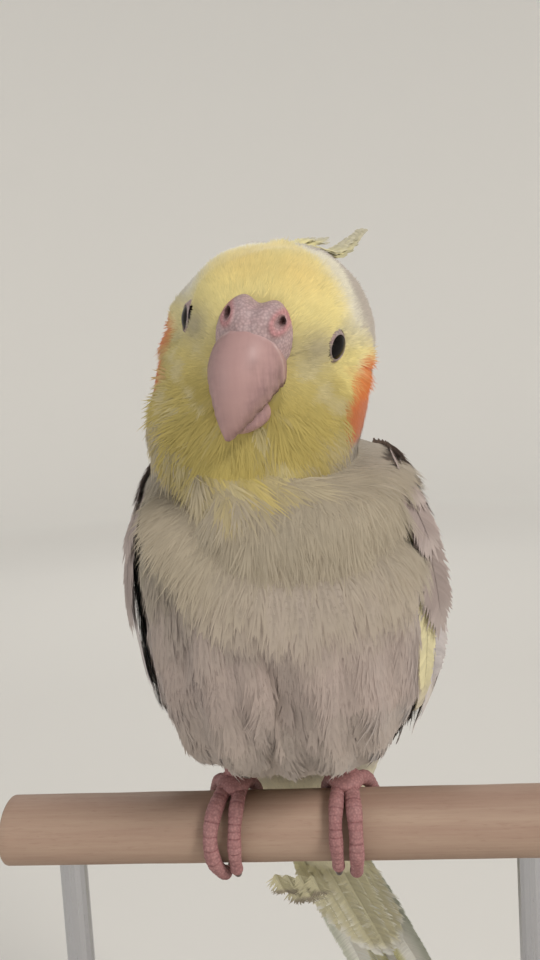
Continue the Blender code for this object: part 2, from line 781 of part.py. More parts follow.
def claw_path(foot_x, outward, toe):
    """A claw goes on round the dowel from its toe's end, tapering to its point."""
    _, first, last, radius, offsets = toe
    way = math.copysign(1, last - first)
    x = foot_x + outward * offsets[-1] * MM
    reach = DOWEL_RADIUS + GAP + radius * 0.85 * MM
    begin = last * DEG + way * CUT / reach
    path = []
    radii = []
    for share in np.linspace(0, 1, CLAW_RINGS):
        angle = begin + way * share * CLAW_LENGTH / reach
        here = CLAW_RADIUS + (CLAW_TIP_RADIUS - CLAW_RADIUS) * share**1.3
        out = reach + CLAW_ARCH * (math.sin(math.pi * share) - share)
        path.append(np.array((x, -out * math.cos(angle), out * math.sin(angle))))
        radii.append(here)
    return path, radii


def build_legs():
    """Each leg is one piece from its shank to the ends of its toes, and its claws are their own."""
    for side, foot_x in FOOT_X.items():
        outward = math.copysign(1, foot_x)
        leg = shank(side, 0.0)
        leg.name = f"leg_{side}"
        leg.data.materials.append(bpy.data.materials["foot_skin"])
        pad_middle = np.array((foot_x, 0.4 * MM, DOWEL_RADIUS + GAP + PAD_RADII[2]))
        pieces = [make_object("pad", ball(pad_middle, PAD_RADII, 14, 8))]
        for toe in TOES[side]:
            path, radii = toe_path(foot_x, outward, toe)
            pieces.append(make_object("toe", tube(path, radii, TOE_SIDES)))
            path, radii = claw_path(foot_x, outward, toe)
            make_object(f"claw_{side}_{toe[0]}", tube(path, radii, CLAW_SIDES), "claw")
        combine(leg, pieces, "UNION")


def wing_grid(side, outer):
    """The outer or inner face of a folded wing that lies along the body."""
    grid = []
    for row in np.linspace(0, len(WING_ROWS) - 1, WING_RINGS):
        place, first, last, thickness = curve_at(WING_ROWS, row)
        line = []
        for share in np.linspace(0, 1, WING_COLUMNS):
            turn = (first + (last - first) * share) * DEG
            dome = WING_EDGE_SHARE + (1 - WING_EDGE_SHARE) * math.sin(math.pi * share) ** 0.6
            lift = WING_CLEAR + (thickness * MM * dome if outer else 0.0)
            point = body_point(place, turn, lift)
            line.append(swung(point * np.array((side, 1, 1))))
        grid.append(line)
    return grid


def wing_vane(side, root, tip, half_width, outline):
    """One feather that lies along the body, from its root to its tip."""
    root = np.array(root)
    tip = np.array(tip)

    def place_at(share, rise=0.0):
        place, turn, lift = root + share * (tip - root)
        return body_point(place, turn * DEG, lift * MM + rise)

    def stations(share):
        middle = place_at(share)
        ahead = place_at(share + 0.01) - place_at(share - 0.01)
        outward = place_at(share, MM) - middle
        ahead = ahead / np.linalg.norm(ahead)
        outward = outward - ahead * (outward @ ahead)
        outward = outward / np.linalg.norm(outward)
        forward = np.cross(outward, ahead)
        if forward[1] > 0:
            forward = -forward
        turn = root[1] + share * (tip[1] - root[1])
        tuck = np.interp(turn, TUCK_ANGLES, (WING_TUCK, 0))
        tilt = WING_TILT - tuck
        across = math.cos(tilt) * forward + math.sin(tilt) * outward
        up = math.cos(tilt) * outward - math.sin(tilt) * forward
        return middle, across, up

    points, faces = vane(stations, half_width, outline)
    for point in points:
        point[0] = max(point[0], MIDLINE_CLEAR)
    mirror = np.array((side, 1, 1))
    return make_object("vane", ([swung(point * mirror) for point in points], faces))


def build_wings():
    for side, name in ((1, "wing_left"), (-1, "wing_right")):
        shape = slab(wing_grid(side, True), wing_grid(side, False))
        wing = make_object(name, shape, "wing_feather")
        feathers = []
        for count, half_width, outline, *ends in WING_TIERS:
            first_root, last_root, first_tip, last_tip = (np.array(end) for end in ends)
            for share in np.linspace(0, 1, count):
                root = first_root + share * (last_root - first_root)
                tip = first_tip + share * (last_tip - first_tip)
                feathers.append(wing_vane(side, root, tip, half_width * MM, outline))
        combine(wing, feathers, "UNION")


def tail_point(along, across, back):
    """A point of the tail by its distance along, across and behind the tail's axis."""
    droop = -TAIL_DROOP * along * along
    point = TAIL_START + TAIL_AXIS * along + TAIL_BACK * (back + droop)
    return swung(point + np.array((across, 0, 0)))


def tail_vane(side, length, half_width, root, tip, outline):
    """One feather of the tail. Root and tip are its place across and its height in the stack."""

    def stations(share):
        along = TAIL_VANE_START + share * (length - TAIL_VANE_START)
        across, back = root + share * (tip - root)
        middle = tail_point(along, side * across, back)
        level = tail_point(along, side * across + MM, back) - middle
        ahead = tail_point(along + MM, side * across, back) - middle
        level = level / np.linalg.norm(level)
        up = np.cross(ahead, level)
        return middle, level, up / np.linalg.norm(up)

    return make_object("vane", vane(stations, half_width, outline))


def tail_coverts(rows, root_height, tip_height):
    """The short feathers over or under the tail's root, on both sides of its middle."""
    feathers = []
    for length, across in rows:
        for side in (1, -1):
            root = np.array((across, root_height))
            tip = np.array((across, tip_height))
            feathers.append(tail_vane(side, length, TAIL_COVERT_HALF_WIDTH, root, tip, ROUNDED))
    return feathers


def build_tail():
    """The tail's root, which takes up the torso's end, with its feathers and coverts."""
    rings = []
    for share in np.linspace(0, 1, TAIL_CORE_RINGS):
        place = TAIL_CORE[0] + share * (TAIL_CORE[1] - TAIL_CORE[0])
        rings.append(body_ring(place, -TAIL_CORE_SHRINK * share**2))
    tail = make_object("tail", loft(rings), "tail_feather")
    feathers = tail_coverts(UPPER_TAIL_COVERTS, *UPPER_TAIL_COVERT_HEIGHTS)
    feathers += tail_coverts(UNDER_TAIL_COVERTS, *UNDER_TAIL_COVERT_HEIGHTS)
    outline = POINTED
    for length, half_width, heights, across, splay in TAIL_PAIRS:
        for side, height in zip((1, -1), heights):
            root = np.array((across, height))
            tip = root + (math.tan(splay) * length, 0)
            feathers.append(tail_vane(side, length, half_width, root, tip, outline))
        outline = LONG
    combine(tail, feathers, "UNION")


def turned(outline, heights, sides, centre=(0, 0)):
    """Stack circles of the radii in outline at these heights along Z."""
    rings = []
    for radius, height in zip(outline, heights):
        ring = []
        for k in range(sides):
            turn = 2 * math.pi * k / sides
            x = centre[0] + radius * math.cos(turn)
            y = centre[1] + radius * math.sin(turn)
            ring.append(np.array((x, y, height)))
        rings.append(ring)
    return loft(rings)


def rod_shape(x, low, high):
    inner = ROD_RADIUS - ROD_CHAMFER
    heights = (low, low + ROD_CHAMFER, high - ROD_CHAMFER, high)
    return turned((inner, ROD_RADIUS, ROD_RADIUS, inner), heights, ROD_SIDES, (x, 0))


def build_perch():
    half = DOWEL_LENGTH / 2
    inner = DOWEL_RADIUS - DOWEL_CHAMFER
    radii = (inner, DOWEL_RADIUS, DOWEL_RADIUS, inner)
    heights = (-half, DOWEL_CHAMFER - half, half - DOWEL_CHAMFER, half)
    points, faces = turned(radii, heights, DOWEL_SIDES)
    points = [np.array((point[2], point[1], point[0])) for point in points]
    perch = make_object("perch", (points, faces), "dowel")
    top = ROD_HOLE_DEPTH - DOWEL_RADIUS + GAP
    holes = []
    for x in (-ROD_OFFSET, ROD_OFFSET):
        shape = turned((ROD_RADIUS + GAP,) * 2, (-2 * DOWEL_RADIUS, top), ROD_SIDES, (x, 0))
        holes.append(make_object("hole", shape))
    combine(perch, holes, "DIFFERENCE")


def base_ring(inset, height):
    """A rounded rectangle, its corners drawn as arcs."""
    ring = []
    for corner, (sign_x, sign_y) in enumerate(((1, 1), (-1, 1), (-1, -1), (1, -1))):
        middle_x = sign_x * (BASE_WIDTH / 2 - BASE_CORNER)
        middle_y = sign_y * (BASE_DEPTH / 2 - BASE_CORNER)
        for step in range(BASE_CORNER_STEPS + 1):
            turn = (corner + step / BASE_CORNER_STEPS) * math.pi / 2
            reach = BASE_CORNER - inset
            x = middle_x + reach * math.cos(turn)
            y = middle_y - PERCH_Y + reach * math.sin(turn)
            ring.append(np.array((x, y, height - PERCH_Z)))
    return ring


def build_stand():
    rings = [
        base_ring(BASE_CHAMFER / 2, 0),
        base_ring(0, BASE_CHAMFER / 2),
        base_ring(0, BASE_THICKNESS - BASE_CHAMFER),
        base_ring(BASE_CHAMFER, BASE_THICKNESS),
    ]
    make_object("stand_base", loft(rings), "base")
    low = BASE_THICKNESS + GAP - PERCH_Z
    high = ROD_HOLE_DEPTH - DOWEL_RADIUS
    for x, name in ((-ROD_OFFSET, "stand_rod_right"), (ROD_OFFSET, "stand_rod_left")):
        make_object(name, rod_shape(x, low, high), "rod")


def finish_shading():
    for obj in bpy.data.objects:
        if obj.type == "MESH":
            obj.data.shade_smooth()
            obj.data.set_sharp_from_angle(angle=40 * DEG)


def main():
    clear_scene()
    for name in COLOURS:
        make_material(name)
    centre = bpy.data.objects.new("perch_centre", None)
    bpy.context.scene.collection.objects.link(centre)
    centre.location = (0, PERCH_Y, PERCH_Z)
    build_stand()
    build_perch()
    build_torso()
    build_neck()
    build_head()
    build_face()
    build_legs()
    build_wings()
    build_tail()
    finish_shading()


main()
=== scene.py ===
import math

import bpy
import numpy as np
from bpy.props import FloatProperty, FloatVectorProperty, IntProperty, PointerProperty
from mathutils import Matrix, Vector


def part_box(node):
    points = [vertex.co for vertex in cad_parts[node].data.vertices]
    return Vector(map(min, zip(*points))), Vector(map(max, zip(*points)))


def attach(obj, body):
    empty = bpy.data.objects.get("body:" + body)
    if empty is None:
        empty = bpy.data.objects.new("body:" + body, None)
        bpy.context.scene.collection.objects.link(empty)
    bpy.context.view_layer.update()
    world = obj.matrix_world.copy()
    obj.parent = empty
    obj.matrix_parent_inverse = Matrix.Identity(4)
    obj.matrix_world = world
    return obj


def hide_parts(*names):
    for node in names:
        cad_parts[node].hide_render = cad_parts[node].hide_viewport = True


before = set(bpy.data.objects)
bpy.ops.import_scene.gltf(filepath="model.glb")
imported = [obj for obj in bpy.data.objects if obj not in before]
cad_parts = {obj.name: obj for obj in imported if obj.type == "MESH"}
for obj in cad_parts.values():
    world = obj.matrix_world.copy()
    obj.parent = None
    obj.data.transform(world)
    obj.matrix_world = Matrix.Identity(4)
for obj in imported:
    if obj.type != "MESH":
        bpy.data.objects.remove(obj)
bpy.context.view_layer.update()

bl_info = {
    "name": "Cockatiel on a Cut Perch",
    "version": (1, 0, 0),
    "blender": (4, 5, 0),
    "location": "View3D > Sidebar > Cockatiel",
    "description": "Dresses the solids of a perched cockatiel with skin, plumage, bill, eyes and feet",
    "category": "Object",
}

# Shapes are worked out in millimetres round the middle of the dowel
MM = 0.001
DEG = math.pi / 180
PERCH_LOW, PERCH_HIGH = (np.array(corner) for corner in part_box("perch"))
PERCH_MIDDLE = (PERCH_LOW + PERCH_HIGH) / 2
DOWEL_RADIUS = (PERCH_HIGH[2] - PERCH_LOW[2]) / 2 / MM
DOWEL_LENGTH = (PERCH_HIGH[0] - PERCH_LOW[0]) / MM

# The body, from the tail up to the base of the neck. Each row is one cross-section: its front
# point (y, z), its back point (y, z) and its half width.
BODY_ROWS = np.array([
    (66.5, -90.9, 73.5, -87.1, 11.0),
    (54.5, -68.9, 61.5, -65.1, 11.0),
    (42.5, -46.9, 49.5, -43.1, 11.0),
    (29.0, -26.0, 39.0, -20.0, 9.0),
    (21.0, -13.0, 37.0, -5.0, 14.0),
    (11.5, 1.5, 34.0, 12.0, 19.5),
    (1.5, 10.4, 31.0, 26.0, 22.5),
    (-11.0, 13.7, 28.0, 37.0, 24.3),
    (-22.0, 23.0, 25.5, 47.0, 25.3),
    (-28.5, 38.0, 22.0, 56.0, 25.3),
    (-30.0, 51.0, 17.5, 63.5, 23.8),
    (-28.5, 60.0, 13.0, 69.0, 21.5),
    (-26.0, 66.0, 10.0, 74.0, 19.5),
])
TAIL_ROOT = 3.0
NECK_BASE = 12.0
NECK_PULL = 10.0
NECK_PULL_SHARE = 0.7
SQUARENESS = 2.25
SWING_HEIGHT = -12.0
SWING_SLOPE = 0.33
SWING_EASE = 9.0

# The head stands in its own frame: x to the bird's left, y to its back, z to its crown
HEAD_CENTRE = np.array((2.0, -11.5, 91.0))
HEAD_YAW = -5 * DEG
HEAD_PITCH = 15 * DEG
HEAD_ROLL = 15 * DEG
# Rows of the head from the throat to the crown: height, half width, front, back
HEAD_ROWS = np.array([
    (-16.0, 17.2, 18.6, 17.6),
    (-10.0, 17.7, 18.2, 18.4),
    (-4.0, 17.8, 18.2, 19.0),
    (2.0, 16.9, 18.6, 19.4),
    (7.0, 14.8, 17.4, 18.4),
    (11.0, 11.6, 14.2, 15.2),
    (14.0, 7.2, 9.2, 9.8),
    (15.3, 2.6, 3.2, 3.4),
])
EYE_CENTRE = np.array((9.3, -10.4, 2.6))
EYE_RADIUS = 3.5
EYE_AXIS_FROM_FRONT = 62 * DEG

# The hollow round each eye: how far out its flat floor and its rim reach, and how far in front
# of the eyeball's middle the floor lies
ORBIT_FLOOR_RADIUS = 2.8
ORBIT_RADIUS = 6.0
ORBIT_DEPTH = 2.3

# The skin's grid, and how deep it lies under the plumage's outline on the body and the head
SKIN_COLUMNS = 144
TORSO_STEPS = 110
NECK_STEPS = 34
HEAD_STEPS = 70
BODY_COAT_DEPTH = 1.2
HEAD_COAT_DEPTH = 1.0


def paint(code):
    """The linear colour of a six-digit sRGB code."""
    shares = [int(code[i:i + 2], 16) / 255 for i in (0, 2, 4)]
    return tuple(s / 12.92 if s <= 0.04045 else ((s + 0.055) / 1.055) ** 2.4 for s in shares)


def smooth(low, high, value):
    """Ease from 0 at low to 1 at high."""
    share = np.clip((value - low) / (high - low), 0, 1)
    return share * share * (3 - 2 * share)


def mix(low, high, share):
    """Mix two colours, or two rows of colours, by a share from 0 to 1 for each place."""
    low, high = np.asarray(low, float), np.asarray(high, float)
    return low + (high - low) * np.asarray(share)[..., None]


def bump(offset, width):
    return np.exp(-((offset / width) ** 2))


def unit(vectors):
    return vectors / np.maximum(np.linalg.norm(vectors, axis=-1, keepdims=True), 1e-9)


def curve_at(rows, place):
    """Read the smooth curve through equally spaced rows, going on straight past its ends."""
    rows = np.asarray(rows, float)
    if rows.ndim == 1:
        rows = rows[:, None]
    place = np.asarray(place, float)
    last = len(rows) - 1
    padded = np.vstack((2 * rows[0] - rows[1], rows, 2 * rows[last] - rows[last - 1]))
    inside = np.clip(place, 0, last)
    index = np.minimum(inside.astype(int), last - 1)
    t = (inside - index)[..., None]
    before, here, following, after = (padded[index + k] for k in range(4))
    slope = following - before
    bend = 2 * before - 5 * here + 4 * following - after
    twist = 3 * here - before - 3 * following + after
    value = 0.5 * (2 * here + slope * t + bend * t**2 + twist * t**3)
    end_slope = np.where((place < 0)[..., None], rows[1] - rows[0], rows[last] - rows[last - 1])
    return value + (place - inside)[..., None] * end_slope


def superellipse(turn, squareness=SQUARENESS):
    """Sine and cosine of a turn, on a rounded square."""
    sine, cosine = np.sin(turn), np.cos(turn)
    power = 2 / squareness
    return np.sign(sine) * np.abs(sine) ** power, np.sign(cosine) * np.abs(cosine) ** power


def swung(points):
    """Move points of the rear towards +X, easing in below the swing height."""
    drop = SWING_HEIGHT - points[..., 2]
    eased = 0.5 * (drop + np.sqrt(drop * drop + SWING_EASE**2))
    moved = np.array(points, float)
    moved[..., 0] += SWING_SLOPE * eased
    return moved


def body_point(place, turn, lift=0.0):
    """Points on the body, or lift outside it. Turn is 0 at the breast and 90 degrees at +X."""
    place, turn, lift = np.broadcast_arrays(place, turn, lift)
    rows = curve_at(BODY_ROWS, place)
    front = np.stack((0 * place, rows[..., 0], rows[..., 1]), -1)
    back = np.stack((0 * place, rows[..., 2], rows[..., 3]), -1)
    backward = back - front
    depth = np.linalg.norm(backward, axis=-1, keepdims=True)
    sine, cosine = superellipse(turn)
    reach = cosine[..., None] * (depth / 2 + lift[..., None])
    points = (front + back) / 2 - backward / depth * reach
    points[..., 0] += sine * (rows[..., 4] + lift)
    return points


HEAD_TURN = np.array(
    Matrix.Rotation(HEAD_YAW, 3, "Z")
    @ Matrix.Rotation(HEAD_ROLL, 3, "Y")
    @ Matrix.Rotation(HEAD_PITCH, 3, "X")
)


def from_head(points):
    """Bring points of the head's frame to the perch's."""
    return np.asarray(points) @ HEAD_TURN.T + HEAD_CENTRE


def to_head(points):
    return (np.asarray(points) - HEAD_CENTRE) @ HEAD_TURN


def head_point(place, turn):
    """Points on the head's outline, in the head's own frame."""
    place, turn = np.broadcast_arrays(place, turn)
    rows = curve_at(HEAD_ROWS, place)
    sine, cosine = superellipse(turn)
    reach = np.where(cosine > 0, rows[..., 2], rows[..., 3])
    return np.stack((rows[..., 1] * sine, -reach * cosine, rows[..., 0]), -1)


def eye_axis(side):
    turn = EYE_AXIS_FROM_FRONT
    return np.array((side * math.sin(turn), -math.cos(turn), 0.0))


def eye_middle(side):
    return EYE_CENTRE * np.array((side, 1, 1))


def sunk_orbits(head):
    """Dish the skin round each eye, so that the eyeball and its lids stand in a hollow."""
    for side in (1, -1):
        axis = eye_axis(side)
        offset = head - eye_middle(side)
        forward = offset @ axis
        away = np.linalg.norm(offset - forward[..., None] * axis, axis=-1)
        inside = (1 - smooth(ORBIT_FLOOR_RADIUS, ORBIT_RADIUS, away)) * (forward > 0)
        sink = np.maximum(forward - ORBIT_DEPTH, 0) * inside
        head = head - sink[..., None] * axis
    return head


class Hide:
    """The skin's own shape as a grid of rows from the tail's root to the crown, and columns.

    Column 0 is the front and the columns turn towards the bird's left. Places on it are read
    at any row and column between.
    """

    def __init__(self):
        turns = np.linspace(0, 2 * math.pi, SKIN_COLUMNS, endpoint=False)
        torso = swung(body_point(np.linspace(TAIL_ROOT, NECK_BASE, TORSO_STEPS)[:, None], turns))
        low = torso[-1]
        low_slope = swung(body_point(NECK_BASE + 0.1, turns)) - low
        high = from_head(head_point(0.0, turns))
        high_slope = from_head(head_point(0.1, turns)) - high
        pull = np.minimum(NECK_PULL, NECK_PULL_SHARE * np.linalg.norm(high - low, axis=1))[:, None]
        low_slope = pull * unit(low_slope)
        high_slope = pull * unit(high_slope)
        t = np.linspace(0, 1, NECK_STEPS + 2)[1:-1, None, None]
        neck = (2 * t**3 - 3 * t**2 + 1) * low + (t**3 - 2 * t**2 + t) * low_slope
        neck += (3 * t**2 - 2 * t**3) * high + (t**3 - t**2) * high_slope
        # Rows of the head crowd towards the crown, where the outline turns over
        share = np.linspace(0, 1, HEAD_STEPS)
        head_places = (len(HEAD_ROWS) - 1) * (1 - (1 - share) ** 1.35)
        head = from_head(head_point(head_places[:, None], turns))
        self.points = np.concatenate((torso, neck, head))
        self.rows = len(self.points)
        self.soften(6)
        self.outline = self.points.copy()
        self.measure()
        head_share = smooth(TORSO_STEPS - 6, TORSO_STEPS + NECK_STEPS, self.row_numbers())
        depth = BODY_COAT_DEPTH + (HEAD_COAT_DEPTH - BODY_COAT_DEPTH) * head_share
        depth = depth - relief(self.points)
        self.points = self.points - self.normals * depth[..., None]
        self.soften(2)
        self.points = from_head(sunk_orbits(to_head(self.points)))
        self.measure()

    def row_numbers(self):
        return np.broadcast_to(np.arange(self.rows)[:, None], (self.rows, SKIN_COLUMNS))

    def soften(self, times):
        """Even out the creases where torso, neck and head meet."""
        for _ in range(times):
            middle = self.points[1:-1]
            self.points[1:-1] = 0.5 * middle + 0.25 * (self.points[:-2] + self.points[2:])

    def measure(self):
        """Work out the slopes along and across the grid, its outward normals and cell areas."""
        self.along = np.gradient(self.points, axis=0)
        self.across = (np.roll(self.points, -1, 1) - np.roll(self.points, 1, 1)) / 2
        cross = np.cross(self.across, self.along)
        self.area = np.linalg.norm(cross, axis=-1)
        self.normals = unit(cross)

    def read(self, grid, row, column):
        """Read a grid of values between its rows and columns."""
        row = np.clip(row, 0, self.rows - 1.001)
        column = np.mod(column, SKIN_COLUMNS)
        i, j = row.astype(int), column.astype(int)
        j_next = (j + 1) % SKIN_COLUMNS
        s, t = row - i, column - j
        if grid.ndim == 3:
            s, t = s[:, None], t[:, None]
        low = grid[i, j] * (1 - t) + grid[i, j_next] * t
        high = grid[i + 1, j] * (1 - t) + grid[i + 1, j_next] * t
        return low * (1 - s) + high * s

    def scatter(self, count, density, seed):
        """Spread places evenly over the skin, closer together where density is greater."""
        weight = (self.area * density)[:-1]
        by_row = np.cumsum(weight.sum(axis=1))
        step = np.array((0.7548776662466927, 0.5698402909980532))
        spots = (np.arange(count)[:, None] * step + seed * 0.137 + 0.5) % 1.0
        row = np.searchsorted(by_row, spots[:, 0] * by_row[-1])
        row = np.minimum(row, len(weight) - 1)
        before = np.where(row > 0, by_row[row - 1], 0)
        row_share = (spots[:, 0] * by_row[-1] - before) / np.maximum(by_row[row] - before, 1e-9)
        by_column = np.cumsum(weight, axis=1)[row]
        target = spots[:, 1] * by_column[:, -1]
        column = (by_column < target[:, None]).sum(axis=1)
        column = np.minimum(column, SKIN_COLUMNS - 1)
        picks = np.arange(count)
        before = np.where(column > 0, by_column[picks, column - 1], 0)
        here = np.maximum(by_column[picks, column] - before, 1e-9)
        return row + row_share, column + (target - before) / here


def relief(points):
    """How far the fluffed plumage swells out or sinks in, in mm, at places on the body."""
    x, y, z = points[..., 0], points[..., 1], points[..., 2]
    front = 1 - smooth(-12, 8, y)
    above_fold = z - 55.5 - np.where(x < 3, 0.038, 0.012) * (x - 3) ** 2
    collar = 1.4 * bump(above_fold - 6.5, 3.6) - 2.0 * bump(above_fold, 1.9)
    roll = 1.4 * bump(above_fold + 6.5, 4.0) - 0.7 * bump(z - 31 + 0.3 * np.abs(x), 2.2)
    parting_x = np.interp(z, (14, 22, 32, 41, 52), (-1.8, -1.5, 0.3, -1.7, -1.4))
    parting = -3.0 * bump(x - parting_x, 1.5) * smooth(12, 21, z) * (1 - smooth(43, 53, z))
    folds = 0.7 * np.sin(x * 0.75 + 0.08 * z) * smooth(10, 20, z) * (1 - smooth(44, 54, z))
    folds = folds + 0.5 * ripple(points, 5.0, 6.0)
    head = to_head(points)
    around = np.abs(head[..., 0])
    cheek = 0.8 * bump(around - 15, 5) * bump(head[..., 1] + 8, 6) * bump(head[..., 2] + 9, 5)
    shoulder = 3.0 * bump(np.abs(x) - 20, 7) * bump(y - 8, 10) * bump(z - 69, 6)
    return front * (collar + roll + parting + folds) + cheek + shoulder


def lie_of_plumage(points, normals, along):
    """Which way the plumage lies: away from the bill over the face, then down the body."""
    head = to_head(points)
    focus = from_head(np.array((0.0, -18.0, -0.5)))
    away = points - focus
    distance = np.linalg.norm(away, axis=-1)
    over_face = 1 - smooth(2, 12, head[:, 1])
    below_bill = np.where(head[:, 2] > 0, 1.0, 1 - smooth(11, 24, distance))
    radial = (over_face * below_bill)[:, None]
    flow = radial * unit(away) + (1 - radial) * unit(-along)
    flow -= normals * (flow * normals).sum(-1, keepdims=True)
    return unit(flow)


def ripple(points, scale, seed=0.0):
    """A soft, even unevenness between about -1 and 1."""
    x, y, z = (points[..., k] / scale for k in range(3))
    value = np.sin(1.7 * x + 1.1 * z + seed) * np.sin(1.3 * y - 0.7 * x + 2.1 * seed)
    value = value + 0.6 * np.sin(2.9 * z - 1.9 * x + 3.3 * seed) * np.sin(2.3 * y + 0.9 * z)
    return value / 1.3


def cheek_patch(head):
    """How much of the round ear patch is at places in the head's frame."""
    offset = (np.abs(head[:, 0]) - 17.0, head[:, 1] + 5.2, head[:, 2] + 5.8)
    spread = np.sqrt((offset[0] / 7.5) ** 2 + (offset[1] / 6.2) ** 2 + (offset[2] / 7.4) ** 2)
    return 1 - smooth(0.8, 1.12, spread + 0.07 * ripple(head, 1.2, 2.0))


def plumage(points, tones):
    """The plumage's colour at places on the bird, before each feather's own variation."""
    head = to_head(points)
    x, y, z = points[:, 0], points[:, 1], points[:, 2]
    level = head[:, 2]
    around = np.degrees(np.arctan2(np.abs(head[:, 0]), -head[:, 1]))
    back = smooth(0, 18, y)
    colour = mix(tones["breast"], tones["collar"], smooth(44, 58, z))
    colour = mix(colour, tones["blush"], 0.6 * bump(z - 36, 9) * (1 - back))
    colour = mix(colour, tones["back"], back)
    colour = mix(colour, tones["vent"], (1 - smooth(4, 16, z + 0.2 * y)) * 0.8)
    nape = smooth(66, 78, z)
    colour = mix(colour, tones["nape"], nape)
    reach = np.interp(level, (-32, -26, -20, -13, -4, 3, 9, 14), (14, 26, 42, 66, 92, 74, 70, 100))
    reach = reach + 5 * ripple(points, 2.2, 1.0)
    edge = 1 - smooth(-12, 12, around - reach)
    over_bib = z - 64.6 - 0.034 * (x + 2) ** 2 * (1 - back)
    yellow = edge * smooth(-3.0, 3.0, over_bib + 1.1 * ripple(points, 1.7, 4.0))
    mask = mix(tones["bib"], tones["forehead"], smooth(-8, 4, level))
    mask = mix(mask, tones["rim"], smooth(38, 66, around) * smooth(1, 7, level) * 0.85)
    pale = smooth(0.1, 0.8, ripple(points, 2.6, 5.0)) * 0.25
    mask = mix(mask, tones["rim"], pale * (1 - smooth(-2, 6, level)))
    mask = mix(mask, tones["crown"], 0.6 * bump(around - 20, 26) * bump(level - 12, 3.2))
    colour = mix(colour, mask, yellow)
    lores = bump(np.abs(head[:, 0]) - 9.0, 3.0) * bump(level - 2.2, 2.6) * bump(head[:, 1] + 15.0, 4)
    colour = mix(colour, tones["lores"], np.clip(0.9 * lores, 0, 1))
    return mix(colour, tones["cheek"], cheek_patch(head))


